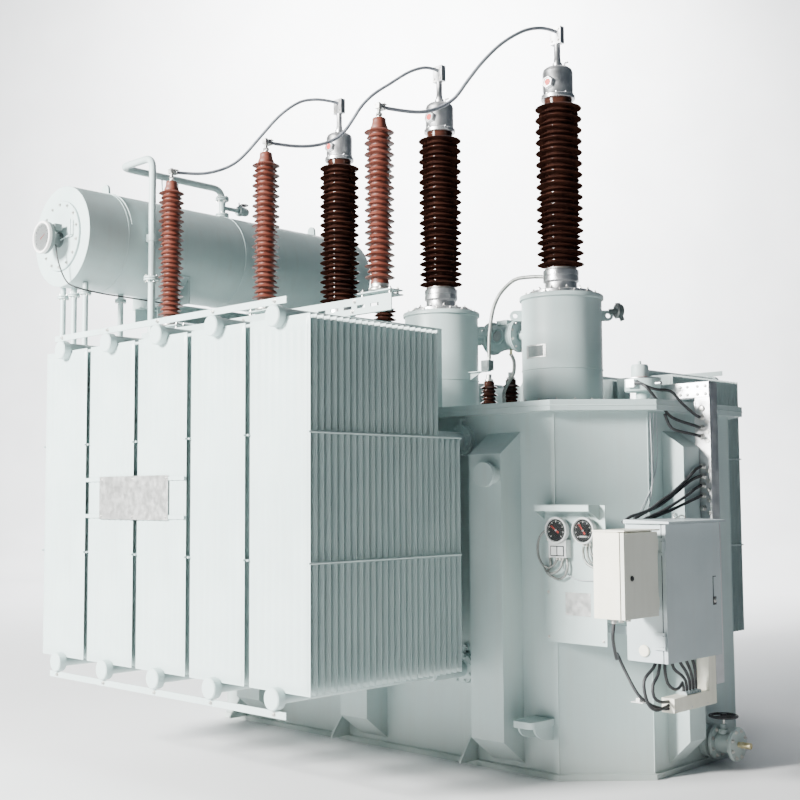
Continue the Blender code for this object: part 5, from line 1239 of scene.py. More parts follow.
# Control cabinet and junction box: sheet boxes with doors on visible hinges.
cabinet = {"x": (2.03, 2.2675), "y": (-0.962, -0.356), "z": (0.771, 1.558), "door": (2.273, 2.298),
    "doorTop": 1.5525, "lid": 0.02, "hinge": (2.2855, -0.973), "port": (2.147, 0.835), "earth": (2.06, 1.5)}
junction = {"x": (2.1, 2.2695), "y": (-1.388, -1.05), "z": (1.048, 1.516), "door": (2.275, 2.3),
    "hinge": (2.2875, -1.039), "lid": 0.01, "lidZ": 1.5217, "lockZ": 1.268}
hinge = {"height": 0.06, "radius": 0.009, "ear": 0.0051, "clear": 0.001, "share": 0.16}
sheet = {"thick": 0.004, "lip": 0.022, "gasketInset": 0.003, "gasketWidth": 0.012}


def hingeLevels(low, high):
    inset = (high - low) * hinge["share"]
    return low + inset, high - inset


def addTray(form, back, front, inner):
    # A box that is open towards +X: outer and inner walls joined at the rim.
    points = []
    for (x0, y0, z0), (x1, y1, z1) in ((back, front), inner):
        for x in (x0, x1):
            points += [(x, y0, z0), (x, y1, z0), (x, y1, z1), (x, y0, z1)]
    faces = [(0, 1, 2, 3), (8, 11, 10, 9)]
    for i in range(4):
        j = (i + 1) % 4
        faces += [(i, j, j + 4, i + 4), (i + 4, j + 4, j + 12, i + 12), (i + 12, j + 12, j + 8, i + 8)]
    addFaces(form, points, faces)


def addFrame(form, xs, ys, zs, width):
    (near, far), (y0, y1), (z0, z1) = xs, ys, zs
    addBox(form, (near, y0, z0), (far, y0 + width, z1))
    addBox(form, (near, y1 - width, z0), (far, y1, z1))
    addBox(form, (near, y0 + width, z0), (far, y1 - width, z0 + width))
    addBox(form, (near, y0 + width, z1 - width), (far, y1 - width, z1))


def spans(spec):
    return spec["x"], spec["y"], spec["z"]


def inward(span, inset):
    return span[0] + inset, span[1] - inset


def addShell(form, spec):
    thick = sheet["thick"]
    (x0, x1), (y0, y1), (z0, z1) = spans(spec)
    inY, inZ = inward(spec["y"], thick), inward(spec["z"], thick)
    addTray(form, (x0, y0, z0), (x1, y1, z1), ((x0 + thick, inY[0], inZ[0]), (x1, inY[1], inZ[1])))
    addFrame(form, (x1 - thick, x1 - 0.001), inY, inZ, sheet["lip"] - thick)


def addGasket(form, spec):
    x = spec["x"][1]
    inset = sheet["gasketInset"]
    addFrame(form, (x - 0.002, x + 0.0003), inward(spec["y"], inset), inward(spec["z"], inset),
        sheet["gasketWidth"])


def addEars(form, spec, side, span):
    x = spec["x"][1]
    edge = spec["y"][0] if side < 0 else spec["y"][1]
    lineX, lineY = spec["hinge"]
    for z in hingeLevels(*span):
        for way in (-1, 1):
            start = z + way * (hinge["height"] / 2 + hinge["clear"])
            low, high = sorted((start, start + way * hinge["height"] / 3))
            addRod(form, (lineX, lineY, low), (lineX, lineY, high), hinge["ear"], 20, 0.0006)
            inner = sorted((lineY + side * 0.002, lineY + side * 0.0055))
            pad = sorted((edge - side * 0.001, lineY + side * 0.005))
            addBox(form, (x - 0.05, inner[0], low + 0.0025), (lineX, inner[1], high - 0.0025))
            addBox(form, (x - 0.0505, pad[0], low + 0.003), (x - 0.002, pad[1], high - 0.003))


def addKnuckles(form, spec, side, span):
    lineX, lineY = spec["hinge"]
    edge = spec["y"][0] if side < 0 else spec["y"][1]
    for z in hingeLevels(*span):
        low = z - hinge["height"] / 2
        high = z + hinge["height"] / 2
        addRod(form, (lineX, lineY, low), (lineX, lineY, high), hinge["radius"], 24, 0.0008)
        web = sorted((lineY, edge - side * 0.012))
        addBox(form, (lineX - 0.0045, web[0], low + 0.002), (lineX + 0.0045, web[1], high - 0.002))


def makeCabinet():
    (x0, x1), (y0, y1), (z0, z1) = spans(cabinet)
    lid = cabinet["lid"]
    corner = tank["endX"] - tank["near"] + tank["wallY"]
    form = newForm()
    addShell(form, cabinet)
    addEars(form, cabinet, -1, (z0, cabinet["doorTop"]))
    addPrism(form, [(x0, y0 - lid, z1 - 0.002), (x1 + 0.025 + 2 * lid, y0 - lid, z1 - 0.002),
        (x1 + 0.025 + 2 * lid, y0 - lid, z1 + lid * 0.55), (x0, y0 - lid, z1 + lid)], (0, y1 - y0 + 2 * lid, 0))
    for z in hingeLevels(z0, z1):
        addBox(form, (tank["endX"], y1 - 0.054, z), (x0 + 0.002, y1 - 0.004, z + 0.05))
        near = y0 + 0.15
        far = near + 0.05
        slant = [(x0 + 0.002, near, z), (x0 + 0.002, far, z), (corner + far, far, z), (corner + near, near, z)]
        addPrism(form, slant, (0, 0, 0.05))
    form["mark"] = 1
    addGasket(form, cabinet)
    form["mark"] = 2
    addLathe(form, [(0.03, -0.001), (0.034, 0.002), (0.034, 0.009), (0.03, 0.013), (0, 0.013)],
        (cabinet["port"][0], y0, cabinet["port"][1]), toFront, 40)
    addBox(form, (x0 + 0.012, y0 + 0.05, z0 + 0.08), (x0 + 0.016, y1 - 0.05, z1 - 0.08))
    form["mark"] = 3
    for row, z in enumerate((z0 + 0.2, z0 + 0.32, z0 + 0.48, z0 + 0.62)):
        addBox(form, (x0 + 0.016, y0 + 0.07, z - 0.018), (x0 + 0.024, y1 - 0.07, z + 0.018))
        for i in range(12):
            y = y0 + 0.09 + i * 0.036
            deep = 0.045 if row < 2 else 0.075
            addBox(form, (x0 + 0.024, y, z - 0.03), (x0 + 0.024 + deep, y + 0.026, z + 0.03))
    form["mark"] = 4
    addBolt(form, (cabinet["earth"][0], y0, cabinet["earth"][1]), toFront, 0.01, 0.4)
    addTube(form, circle((x0 + 0.03, y1 - 0.1, z1 + lid + 0.012), 0.014, 16), 0.0035, 8)
    addTube(form, circle((x0 + 0.05, y1 - 0.06, z1 + 0.01), 0.026, 16), 0.005, 8)
    # The cabinet and its door take the tank's paint darkened and blued as painted shade.
    build(form, "controlCabinet", "cabinetPaint rubber creamPaint blackPlastic zinc", "cabinet_paint",
        stands=["control_cabinet"], bevel=0.0012)

    form = newForm()
    d0, d1 = cabinet["door"]
    top = cabinet["doorTop"]
    addBox(form, (d0, y0, z0), (d1, y1, top))
    addKnuckles(form, cabinet, -1, (z0, top))
    middle = (z0 + top) / 2
    lockY = y1 - 0.075
    form["mark"] = 3
    addBox(form, (d1 - 0.001, lockY - 0.018, middle - 0.095), (d1 + 0.0025, lockY + 0.018, middle + 0.075))
    form["mark"] = 0
    addBox(form, (d1 + 0.002, lockY - 0.013, middle - 0.045), (d1 + 0.0065, lockY + 0.013, middle + 0.07))
    form["mark"] = 4
    addLathe(form, [(0.014, 0.0), (0.014, 0.004), (0.011, 0.0055), (0, 0.0055)],
        (d1 + 0.002, lockY, middle - 0.068), toEnd, 28)
    form["mark"] = 3
    addBox(form, (d1 + 0.007, lockY - 0.0018, middle - 0.075), (d1 + 0.008, lockY + 0.0018, middle - 0.061))
    build(form, "cabinetDoor", "cabinetPaint rubber creamPaint blackPlastic zinc", "cabinet_paint",
        "control_cabinet_door", ["control_cabinet_door"], bevel=0.0018)


def makeJunction():
    (x0, x1), (y0, y1), (z0, z1) = spans(junction)
    form = newForm()
    addShell(form, junction)
    addEars(form, junction, 1, junction["z"])
    over = junction["lid"]
    lidZ = junction["lidZ"]
    addBox(form, (x0, y0 - over, lidZ), (junction["door"][1] + over, y1 + over, lidZ + 0.008))
    addBox(form, (x0 + 0.001, y0 - 0.0005, z1 - 0.001), (x1 - 0.008, y1 + 0.0005, lidZ + 0.001))
    for z in hingeLevels(z0, z1):
        addBox(form, (x0, y1 - 0.002, z - 0.025), (x0 + 0.05, cabinet["y"][0] - 0.0004, z + 0.025))
    addBox(form, (x0 + 0.001, y0 - 0.0015, z0 + 0.006), (x1 - 0.006, y0 + 0.002, z0 + 0.012))
    form["mark"] = 1
    addGasket(form, junction)
    form["mark"] = 3
    addBox(form, (x0 + 0.01, y0 + 0.05, z0 + 0.14), (x0 + 0.018, y1 - 0.05, z0 + 0.18))
    for i in range(9):
        addBox(form, (x0 + 0.018, y0 + 0.06 + i * 0.024, z0 + 0.12), (x0 + 0.06, y0 + 0.078 + i * 0.024, z0 + 0.2))
    form["mark"] = 2
    for y in (y0 + 0.07, y0 + 0.14, y0 + 0.21):
        addRod(form, (x0 + 0.08, y, z0 + 0.001), (x0 + 0.08, y, z0 - 0.01), 0.021, 6, 0.001)
        addRod(form, (x0 + 0.08, y, z0 - 0.01), (x0 + 0.08, y, z0 - 0.03), 0.016, 20, 0.003)
    for z in hingeLevels(z0, z1):
        addBolt(form, (x0 + 0.03, cabinet["y"][0] - 0.023, z + 0.025), toTop, 0.006, 0.4)
    build(form, "junctionBox", "creamPaint rubber zinc blackPlastic", "cream_paint", stands=["junction_box"],
        bevel=0.001)

    form = newForm()
    d0, d1 = junction["door"]
    lockZ = junction["lockZ"]
    addBox(form, (d0, y0, z0), (d1, y1, z1))
    addKnuckles(form, junction, 1, junction["z"])
    form["mark"] = 1
    addLathe(form, [(0.015, -0.001), (0.015, 0.004), (0.012, 0.007), (0.006, 0.007), (0.005, 0.003), (0, 0.003)],
        (d1, y0 + 0.072, lockZ), toEnd, 28)
    addBox(form, (d1 + 0.002, y0 + 0.07, lockZ - 0.006), (d1 + 0.009, y0 + 0.074, lockZ + 0.006))
    # The junction door takes the cream paint darkened and greyed as painted shade.
    build(form, "junctionDoor", "doorPaint blackPlastic", "tank_paint", "junction_box_door", ["junction_box_door"],
        bevel=0.002)


makeCabinet()
makeJunction()
print("stage: cabinets")

# Instrument panel with its visor, two dial thermometers, and the cable tray under the cabinet.
instrument = {"x": (1.433, 1.88), "z": (0.832, 1.66), "y": -0.94, "visorX": 1.84, "visor": 0.11, "lip": 0.035,
    "dials": (1.567, 1.765), "dialZ": 1.51, "radius": 0.08, "depth": 0.07, "plate": (1.585, 1.769, 0.999, 1.137),
    "housing": (-0.165, -0.058), "needles": (((148, 0.05, 0.0042), (136, 0.044, 0.003)),
    ((130, 0.052, 0.0042), (118, 0.044, 0.003)))}


def makePanel():
    visorX = instrument["visorX"]
    x0, x1 = instrument["x"]
    z0, z1 = instrument["z"]
    y = instrument["y"]
    face = y - 0.003
    form = newForm()
    addBox(form, (x0, face, z0), (x1, y + 0.003, z1))
    lip = face - instrument["visor"]
    addBox(form, (x0, lip, z1 - 0.0025), (visorX, y, z1 + 0.003))
    addBox(form, (x0, lip, z1 - instrument["lip"]), (visorX, lip + 0.003, z1))
    addPrism(form, [(x0, face, z1 - 0.09), (x0, face, z1), (x0, lip, z1), (x0, lip, z1 - 0.03)], (0.003, 0, 0))
    addPrism(form, [(visorX - 0.003, face, z1 - 0.09), (visorX - 0.003, face, z1), (visorX - 0.003, lip, z1),
        (visorX - 0.003, lip, z1 - 0.03)], (0.003, 0, 0))
    span = (z1 - z0) * 0.36
    for z in (z0 + span, z1 - span):
        for x in (x0 + 0.1, x0 + 0.3):
            end = -tank["wallY"] + (x - (tank["endX"] - tank["near"]))
            stay = [(x, y, z - 0.025), (x, end, z - 0.025), (x - 0.05, end - 0.05, z - 0.025),
                (x - 0.05, y, z - 0.025)]
            addPrism(form, stay, (0, 0, 0.05))
    form["mark"] = 1
    for x in (x0 + 0.025, x1 - 0.025):
        for z in (z0 + 0.03, z0 + 0.3, z0 + 0.62):
            addBolt(form, (x, face, z), toFront, 0.007, 0.5)
    form["mark"] = 2
    px0, px1, pz0, pz1 = instrument["plate"]
    addBox(form, (px0, face - 0.0015, pz0), (px1, face + 0.001, pz1))
    form["mark"] = 1
    for x in (px0 + 0.008, px1 - 0.008):
        for z in (pz0 + 0.008, pz1 - 0.008):
            addLathe(form, [(0.0035, 0), (0.003, 0.0015), (0, 0.002)], (x, face - 0.0015, z), toFront, 12)
    build(form, "instrumentPanel", "tankPaint zinc plateMetal", "tank_paint", stands=["instrument_panel"],
        bevel=0.0008)


def makeDials():
    seat = -(instrument["y"] - 0.0033)
    front = seat + instrument["depth"]
    radius = instrument["radius"]
    z = instrument["dialZ"]
    plane = -front + 0.0074
    for i, x in enumerate(instrument["dials"]):
        form = newForm()
        addLathe(form, [(0, seat), (0.058, seat), (0.06, seat + 0.004), (0.06, seat + 0.03),
            (radius - 0.004, seat + 0.034), (radius, seat + 0.038), (radius, front - 0.003),
            (radius - 0.003, front), (radius - 0.009, front), (radius - 0.012, front - 0.009), (0, front - 0.0095)],
            (x, 0, z), toFront, 64)
        if i == 0:
            low, high = instrument["housing"]
            addBox(form, (x - 0.064, -seat - 0.052, z + low), (x + 0.064, -seat, z + high))
        form["mark"] = 1
        addLathe(form, [(radius - 0.0135, front - 0.0088), (radius - 0.0135, front - 0.0082), (0, front - 0.0082)],
            (x, 0, z), toFront, 64)
        if i == 0:
            addBox(form, (x - 0.05, -seat - 0.0545, z - 0.156), (x + 0.05, -seat - 0.05, z - 0.094))
        form["mark"] = 2
        for k in range(41):
            inner, wide = (0.047, 0.0022) if k % 5 == 0 else (0.054, 0.0006)
            addStroke(form, Vector((x, plane, z)), radians(-45 + 270 * k / 40), (inner, 0.058), (wide, wide),
                0.0012)
        if i == 1:
            addBox(form, (x - 0.026, plane - 0.0002, z - 0.04), (x + 0.026, plane + 0.001, z - 0.03))
        form["mark"] = 3
        for step, (angle, reach, wide) in enumerate(instrument["needles"][i]):
            base = Vector((x, plane - 0.002 - step * 0.0004, z))
            addStroke(form, base, radians(angle), (-0.026, reach), (wide, 0.0008), 0.001)
        form["mark"] = 0
        addLathe(form, [(0.0065, front - 0.0085), (0.006, front - 0.0035), (0, front - 0.0035)], (x, 0, z), toFront,
            20)
        if i == 0:
            for dx in (-0.024, 0.024):
                addBox(form, (x + dx - 0.02, -seat - 0.0555, z - 0.15), (x + dx + 0.02, -seat - 0.0535, z - 0.1))
        form["mark"] = 4
        ends = ((-0.022, 0.022), (0.0, 0.026), (0.022, 0.022))
        drop = -0.158 if i == 0 else -0.07
        for dx, length in ends:
            addRod(form, (x + dx, -seat - 0.026, z + drop), (x + dx, -seat - 0.026, z + drop - length), 0.0095, 14,
                0.001)
        looks = "dialGrey blackPlastic dialWhite needleRed zinc"
        build(form, "dialThermometer%d" % (i + 1), looks, "instrument_black",
            stands=["dial_thermometer_%d" % (i + 1)], smooth=40)
        glass = newForm()
        addLathe(glass, [(0, front - 0.003), (radius - 0.011, front - 0.003), (radius - 0.011, front - 0.0015),
            (0, front - 0.001)], (x, 0, z), toFront, 48)
        build(glass, "dialGlass%d" % (i + 1), "glass", "instrument_black")


tray = {"x": (2.075, 2.16), "y": (-0.68, -0.19), "z": (0.446, 0.531), "ductY": -0.275, "top": 0.871,
    "elbowY": -0.3557, "glandX": (2.09, 2.117, 2.145), "glands": (-0.503, 0.036, 5)}


def makeTray():
    top = tray["top"]
    form = newForm()
    (x0, x1), (y0, y1), (z0, z1) = spans(tray)
    addBox(form, (x0, y0, z0), (x1, y1, z1 - 0.003))
    addBox(form, (x0 + 0.0005, tray["ductY"], z0 + 0.0005), (x1 - 0.0004, y1 - 0.0005, top))
    addBox(form, (x0 + 0.001, tray["elbowY"], top - 0.085), (x1 - 0.0008, y1 - 0.001, top - 0.0008))
    addBox(form, (x0 - 0.001, y0 - 0.001, z1 - 0.006), (x1 + 0.0005, tray["ductY"] - 0.002, z1))
    form["mark"] = 1
    for y in (y0 + 0.02, y0 + 0.2, y0 + 0.38):
        addLathe(form, [(0.006, 0), (0.005, 0.0025), (0, 0.003)], (x1, y, z0 + 0.015), toEnd, 12)
    left, middle, right = tray["glandX"]
    first, pitch, count = tray["glands"]
    for i in range(count):
        y = first + i * pitch
        form["mark"] = 2
        addBox(form, (left, y - 0.013, z1 - 0.001), (right, y + 0.013, z1 + 0.018))
        form["mark"] = 3
        addPin(form, (middle, y, z1 + 0.017), toTop, 0.027, 0.009, 14, 0.001)
    # The gland blocks take the tank's paint darkened and blued as painted shade.
    build(form, "cableTray", "creamPaint zinc cabinetPaint rubber", "cream_paint", stands=["cable_tray"],
        bevel=0.001)


makePanel()
makeDials()
makeTray()
print("stage: instruments")

# Drain valve with bolted flanges, and its handwheel on the stem.
valve = {"start": 1.9053, "end": 2.13, "y": 0.12, "z": 0.145, "flange": 0.1075, "thick": 0.022, "stemX": 2.02905,
    "bonnet": 0.261, "pin": 0.296, "wheel": (0.2963, 0.3263), "rim": 0.085, "rimThick": 0.0092, "plugEnd": 2.22}


def makeValve():
    bonnet, rim = valve["bonnet"], valve["rim"]
    form = newForm()
    y, z = valve["y"], valve["z"]
    start, end = valve["start"], valve["end"]
    reach = end - start - 0.001
    addLathe(form, [(0, 0.001), (0.05, 0.001), (0.05, 0.05), (0.062, 0.09), (0.066, 0.123), (0.062, 0.156),
        (0.05, reach - 0.03), (0.05, reach), (0, reach)], (start, y, z), toEnd, 40)
    for x in (start, start + 0.0225, start + 0.0675, end - valve["thick"]):
        thick = 0.0215 if x == start else valve["thick"]
        addRod(form, (x, y, z), (x + thick, y, z), valve["flange"] - 0.001, 48, 0.002)
    stem = valve["stemX"]
    addRod(form, (stem, y, z), (stem, y, bonnet - 0.04), 0.034, 28)
    addPin(form, (stem, y, bonnet - 0.055), toTop, 0.025, 0.037, 8, 0.002)
    addPin(form, (stem, y, bonnet - 0.03), toTop, 0.03, 0.022, 24, 0.003)
    form["mark"] = 1
    addRod(form, (stem, y, bonnet - 0.002), (stem, y, valve["pin"]), 0.0095, 16)
    for x, way in ((start + 0.0895, 1), (end, 1), (end - valve["thick"], -1)):
        boltRing(form, (x, y, z), (way, 0, 0), valve["flange"] * 0.8, 8, 0.009, 0.39, 0.7)
    form["mark"] = 2
    addPin(form, (end - 0.002, y, z), toEnd, 0.052, 0.017, 24, 0.001)
    addPin(form, (end + 0.02, y, z), toEnd, 0.015, 0.0215, 6, 0.001)
    addRod(form, (end + 0.045, y, z), (valve["plugEnd"] - 0.004, y, z), 0.02, 24, 0.002)
    build(form, "drainValve", "tankPaint zinc brass", "tank_paint", stands=["drain_valve"], smooth=40)

    form = newForm()
    low, high = valve["wheel"]
    middle = (low + high) / 2
    addRod(form, (stem, y, low), (stem, y, high), 0.0205, 24, 0.002)
    ring = [(reach, z) for reach, _, z in circle((rim, 0, middle), valve["rimThick"], 12)[:-1]]
    addLathe(form, ring, (stem, y, 0), sides=56, closed=True)
    for i in range(3):
        angle = tau * i / 3 + radians(11)
        addRod(form, (stem, y, middle), (stem + rim * cos(angle), y + rim * sin(angle), middle), 0.0066, 14)
    build(form, "valveWheel", "wheelBlack", "wheel_black", "drain_valve_handwheel", ["drain_valve_handwheel"],
        smooth=45)


makeValve()
print("stage: valve")

# Control cables, hoses and capillaries: thin runs without solids of their own, one radius and paint a group.
runs = {"cable": {"radius": 0.0095, "paint": "rubber", "routes": (((1.8, -0.44, 2.43), (1.95, -0.487, 2.372),
    (1.985, -0.349, 2.363), (2.01, -0.263, 2.292), (2.07, -0.2, 2.215), (2.074, -0.164, 2.205)),
    ((1.8, -0.46, 2.42), (1.96, -0.602, 2.383), (1.98, -0.447, 2.264), (2.0, -0.36, 2.196), (2.07, -0.22, 2.15),
    (2.074, -0.164, 2.14)), ((1.98, -0.42, 2.22), (2.0, -0.37, 2.13), (2.07, -0.24, 2.095), (2.074, -0.164, 2.085)),
    ((2.074, -0.164, 1.895), (2.076, -0.234, 1.873), (2.075, -0.295, 1.835), (2.075, -0.367, 1.798),
    (2.068, -0.515, 1.723), (2.055, -0.606, 1.684), (2.04, -0.69, 1.638), (2.02, -0.77, 1.612),
    (1.995, -0.85, 1.592), (1.98, -0.91, 1.56)), ((2.074, -0.164, 1.834), (2.076, -0.237, 1.822),
    (2.076, -0.316, 1.797), (2.073, -0.433, 1.744), (2.064, -0.522, 1.7), (2.045, -0.62, 1.652),
    (2.02, -0.71, 1.62), (1.99, -0.8, 1.58)), ((2.074, -0.164, 1.776), (2.076, -0.24, 1.755),
    (2.075, -0.319, 1.722), (2.07, -0.41, 1.687), (2.05, -0.515, 1.642), (2.03, -0.59, 1.612), (2.01, -0.66, 1.59),
    (1.99, -0.74, 1.56)), ((2.074, -0.164, 1.712), (2.076, -0.243, 1.694), (2.073, -0.373, 1.662),
    (2.055, -0.485, 1.628), (2.03, -0.57, 1.602), (2.0, -0.66, 1.57)), ((2.13, -0.8, 0.775), (2.13, -0.852, 0.724),
    (2.13, -0.951, 0.66), (2.13, -0.921, 0.54), (2.12, -0.82, 0.48), (2.12, -0.7, 0.485), (2.12, -0.676, 0.49)),
    ((2.13, -0.77, 0.775), (2.13, -0.8, 0.684), (2.13, -0.86, 0.625), (2.13, -0.85, 0.56), (2.13, -0.79, 0.525),
    (2.12, -0.7, 0.512), (2.12, -0.676, 0.512)), ((2.12, -0.7, 0.775), (2.13, -0.728, 0.711), (2.13, -0.7, 0.62),
    (2.13, -0.62, 0.575), (2.12, -0.55, 0.58), (2.117, -0.515, 0.602), (2.117, -0.503, 0.572)),
    ((2.12, -0.64, 0.775), (2.13, -0.63, 0.7), (2.125, -0.54, 0.65), (2.117, -0.478, 0.61), (2.117, -0.467, 0.572)),
    ((2.12, -0.57, 0.775), (2.13, -0.55, 0.72), (2.125, -0.48, 0.66), (2.117, -0.438, 0.61),
    (2.117, -0.431, 0.572)), ((2.12, -0.5, 0.775), (2.13, -0.48, 0.72), (2.125, -0.43, 0.66), (2.117, -0.4, 0.61),
    (2.117, -0.395, 0.572)), ((2.12, -0.43, 0.775), (2.13, -0.41, 0.72), (2.125, -0.378, 0.66),
    (2.117, -0.362, 0.61), (2.117, -0.359, 0.572)), ((2.18, -1.318, 1.02), (2.16, -1.3, 0.93), (2.06, -1.12, 0.8),
    (1.955, -0.955, 0.8), (1.964, -0.9, 0.709), (2.045, -0.885, 0.57), (2.085, -0.8, 0.5), (2.11, -0.7, 0.47),
    (2.12, -0.676, 0.47)))}, "thinCable": {"radius": 0.006, "paint": "rubber",
    "routes": (((-2.2, -2.2, 3.64), (-2.17, -2.19, 3.5), (-2.14, -2.14, 3.36), (-2.08, -2.08, 3.31),
    (-2.03, -1.9, 3.28), (-2.0, -1.72, 3.27), (-1.97, -1.58, 3.26), (-1.95, -1.4, 3.25), (-2.0, -1.28, 3.24)),)},
    "armouredHose": {"radius": 0.0078, "paint": "steelHose", "routes": (((1.5, -0.955, 1.52),
    (1.474, -0.965, 1.515), (1.439, -0.97, 1.49), (1.409, -0.972, 1.445), (1.402, -0.972, 1.387),
    (1.412, -0.972, 1.336), (1.444, -0.972, 1.292), (1.485, -0.97, 1.278), (1.52, -0.969, 1.297),
    (1.545, -0.969, 1.33)), ((1.5, -0.955, 1.45), (1.487, -0.958, 1.409), (1.484, -0.958, 1.349),
    (1.489, -0.958, 1.29), (1.47, -0.958, 1.262)), ((1.589, -0.969, 1.33), (1.582, -0.978, 1.292),
    (1.552, -0.985, 1.258), (1.509, -0.985, 1.245), (1.469, -0.98, 1.26), (1.44, -0.958, 1.285)),
    ((1.459, -0.958, 1.25), (1.493, -0.962, 1.23), (1.53, -0.966, 1.216), (1.567, -0.97, 1.214),
    (1.605, -0.975, 1.234), (1.622, -0.972, 1.27), (1.62, -0.965, 1.32), (1.604, -0.958, 1.345)),
    ((1.743, -0.969, 1.415), (1.74, -0.972, 1.386), (1.746, -0.974, 1.347), (1.77, -0.975, 1.315),
    (1.815, -0.975, 1.293), (1.87, -0.97, 1.29), (1.93, -0.92, 1.31)), ((1.765, -0.969, 1.412),
    (1.773, -0.972, 1.358), (1.79, -0.972, 1.324), (1.83, -0.968, 1.308), (1.9, -0.93, 1.32)),
    ((1.787, -0.969, 1.415), (1.8, -0.972, 1.373), (1.825, -0.97, 1.344), (1.87, -0.955, 1.335)))},
    "thinWire": {"radius": 0.003, "paint": "greyHose", "routes": (((1.585, -0.962, 1.33), (1.59, -0.962, 1.277),
    (1.608, -0.96, 1.248), (1.641, -0.956, 1.227), (1.689, -0.954, 1.215), (1.743, -0.954, 1.212),
    (1.811, -0.954, 1.214), (1.88, -0.95, 1.225)),)}, "capillary": {"radius": 0.0032, "paint": "greyHose",
    "routes": (((1.93, -0.92, 1.31), (1.905, -0.62, 1.6), (1.918, -0.47, 1.8), (1.918, -0.46, 2.02),
    (1.92, -0.45, 2.225)), ((1.9, -0.93, 1.32), (1.908, -0.58, 1.62), (1.92, -0.43, 1.9), (1.92, -0.42, 2.225)),
    ((1.87, -0.955, 1.335), (1.93, -0.75, 1.42), (1.912, -0.6, 1.54), (1.92, -0.49, 1.75), (1.92, -0.49, 2.225)))},
    "hose": {"radius": 0.0135, "paint": "steelHose", "routes": (((0.985, -0.27, 3.205), (0.953, -0.27, 3.228),
    (0.829, -0.27, 3.243), (0.697, -0.27, 3.24), (0.579, -0.27, 3.17), (0.514, -0.27, 3.084), (0.48, -0.27, 2.981),
    (0.46, -0.27, 2.839), (0.458, -0.27, 2.7)), ((0.43, 0.02, 2.75), (0.423, 0.06, 2.705), (0.384, 0.1, 2.62),
    (0.327, 0.1, 2.55), (0.288, 0.1, 2.478), (0.296, 0.1, 2.389), (0.3, 0.1, 2.32)))},}


def makeRuns():
    for name, run in runs.items():
        form = newForm()
        for corners in run["routes"]:
            addTube(form, smoothRoute(corners, 0.03), run["radius"], 12)
        build(form, name + "Runs", run["paint"], "lead_sheath", smooth=60)


# Small fittings on the turrets, the bare plate on the radiators and the cable clips.
fittings = {"gland": (0.3, 0.1), "turretPlate": (0.991, 1.164, 2.633, 2.722), "sensor": (0.439, -0.27, 2.662),
    "detector": (1.375, 0.005, 2.972), "plate": (-1.044, -0.276, 1.6, 1.84), "bars": (-1.219, -0.114),
    "barY": (-2.5205, -2.515), "plateY": (-2.5235, -2.5206), "bracket": (0.27, 0.4),
    "clips": (((1.995, -0.885, 0.52), (2.075, -0.8, 0.524)), ((2.02, -0.87, 0.515), (2.045, -0.82, 0.545)))}


def makeFittings():
    form = newForm()
    form["mark"] = 1
    x0, x1, z0, z1 = fittings["turretPlate"]
    loop = []
    for i in range(9):
        x = x0 + (x1 - x0) * i / 8
        loop.append((x, bushing["y"] - sqrt((bushing["turret"] + 0.003) ** 2 - (x - bushing["places"][0]) ** 2),
            z0))
    back = [(x, y + 0.0025, z) for x, y, z in reversed(loop)]
    addPrism(form, loop + back, (0, 0, z1 - z0))
    form["mark"] = 2
    inner = [(x, y - 0.0006, z + 0.008) for x, y, z in loop[1:-1]]
    addPrism(form, inner + [(x, y + 0.003, z) for x, y, z in reversed(inner)], (0, 0, z1 - z0 - 0.016))
    form["mark"] = 0
    sx, sy, sz = fittings["sensor"]
    start, end = fittings["bracket"]
    addBox(form, (start, sy - 0.02, sz - 0.055), (sx + 0.02, sy + 0.02, sz - 0.047))
    addPrism(form, [(start - 0.002, sy - 0.003, sz - 0.11), (start - 0.002, sy - 0.003, sz - 0.05),
        (end, sy - 0.003, sz - 0.05)], (0, 0.006, 0))
    form["mark"] = 2
    addBox(form, (sx - 0.035, sy - 0.03, sz - 0.047), (sx + 0.035, sy + 0.03, sz + 0.025))
    addBox(form, (sx - 0.028, sy - 0.034, sz - 0.03), (sx + 0.028, sy - 0.03, sz + 0.015))
    form["mark"] = 3
    addPin(form, (sx + 0.016, sy, sz + 0.024), toTop, 0.026, 0.016, 6, 0.001)
    form["mark"] = 2
    out = Vector(fittings["detector"])
    face = Vector((-0.55, -0.84, 0))
    addLathe(form, [(0, -0.03), (0.04, -0.03), (0.048, -0.022), (0.05, 0.01), (0.044, 0.016), (0, 0.016)], out,
        face, 28)
    addRod(form, out + Vector((0.012, 0.01, -0.03)), out + Vector((0.022, 0.02, -0.066)), 0.016, 14, 0.002)
    addRod(form, out + Vector((-0.045, -0.045, -0.004)), out, 0.02, 16)
    addBox(form, out + Vector((-0.016, -0.012, 0.044)), out + Vector((0.012, 0.012, 0.056)))
    form["mark"] = 1
    addLathe(form, [(0.043, 0.0165), (0.051, 0.009), (0.0535, 0.012), (0.046, 0.02)], out, face, 28, closed=True)
    form["mark"] = 3
    addRod(form, (*fittings["gland"], deckItems["z"]), (*fittings["gland"], 2.345), 0.02, 20, 0.002)
    looks = "tankPaint plateMetal gaugeGrey zinc"
    build(form, "turretFittings", looks, "tank_paint", bevel=0.0008)

    form = newForm()
    left, right = fittings["bars"]
    x0, x1, z0, z1 = fittings["plate"]
    near, far = fittings["barY"]
    for z in (z0, z1):
        addBox(form, (left, near, z - 0.012), (right, far, z + 0.012))
    near, far = fittings["plateY"]
    form["mark"] = 1
    addBox(form, (x0, near, z0 - 0.02), (x1, far, z1 + 0.02))
    form["mark"] = 2
    for x in (x0 + 0.02, (x0 + x1) / 2, x1 - 0.02):
        for z in (z0, z1):
            addBolt(form, (x, near, z), toFront, 0.006, 0.4)
    build(form, "barePlate", "tankPaint plateMetal zinc", "tank_paint", bevel=0.0006)

    form = newForm()
    for low, high in fittings["clips"]:
        addBox(form, low, high)
    build(form, "cableClips", "dialWhite", "cream_paint", bevel=0.0008)


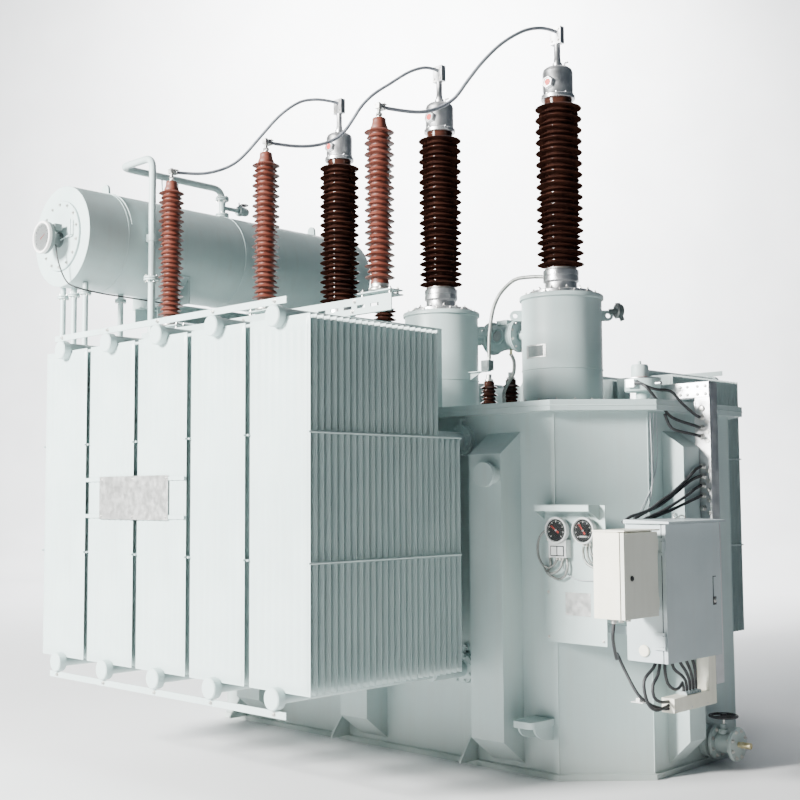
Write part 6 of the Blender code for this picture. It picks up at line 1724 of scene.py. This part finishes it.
makeRuns()
makeFittings()
print("stage: fittings")

# Floor with a curved backdrop behind it, and soft lights.
studio = {"near": -14, "far": 15, "rise": 14, "curve": 5, "half": 26, "sky": ((0.66, 0.84, 1), 0.1)}
lights = (
    # Name, place, aim, size, power and tint.
    ("key", (-3.4, -13, 6.4), (0.2, -0.6, 2.2), 3, 11000, (1, 0.985, 0.95)),
    ("fill", (13, -3, 6), (0.5, 0, 2), 9, 12, (0.8, 0.9, 1)),
    ("top", (0, 1, 12), (0, 0, 0), 7, 260, (1, 1, 1)),
    ("back", (-9, 8, 8), (-0.5, 0, 3), 6, 200, (1, 1, 1)),
    ("backdrop", (-8.6, 9, 12.5), (-14.5, 15.2, 5), 11, 13000, (1, 1, 1)),
)


def makeStudio():
    yaw = radians(camera["yaw"])
    ahead = Vector((-sin(yaw), cos(yaw), 0))
    across = Vector((cos(yaw), sin(yaw), 0))
    line = [(studio["near"], 0.0)]
    curve = studio["curve"]
    for i in range(13):
        angle = pi / 2 * i / 12
        line.append((studio["far"] + curve * sin(angle), curve * (1 - cos(angle))))
    line.append((studio["far"] + curve, studio["rise"]))
    form = newForm()
    points = []
    for run, z in line:
        for side in (-1, 1):
            points.append(ahead * run + across * side * studio["half"] + Vector((0, 0, z)))
    faces = [(2 * i, 2 * i + 1, 2 * i + 3, 2 * i + 2) for i in range(len(line) - 1)]
    addFaces(form, points, faces)
    floor = addObject("floor", makeMesh(form, "floor", "floorPaint"))
    for name, spot, aim, size, power, tint in lights:
        light = bpy.data.lights.new(name, "AREA")
        light.size, light.energy, light.color = size, power, tint
        holder = addObject(name, light)
        holder.location = spot
        holder.rotation_euler = (Vector(aim) - Vector(spot)).to_track_quat("-Z", "Y").to_euler()
    world = bpy.data.worlds.new("studio")
    world.use_nodes = True
    sky = world.node_tree.nodes["Background"]
    tint, strength = studio["sky"]
    sky.inputs["Color"].default_value = (*tint, 1)
    sky.inputs["Strength"].default_value = strength
    bpy.context.scene.world = world


makeStudio()
print("stage: studio")
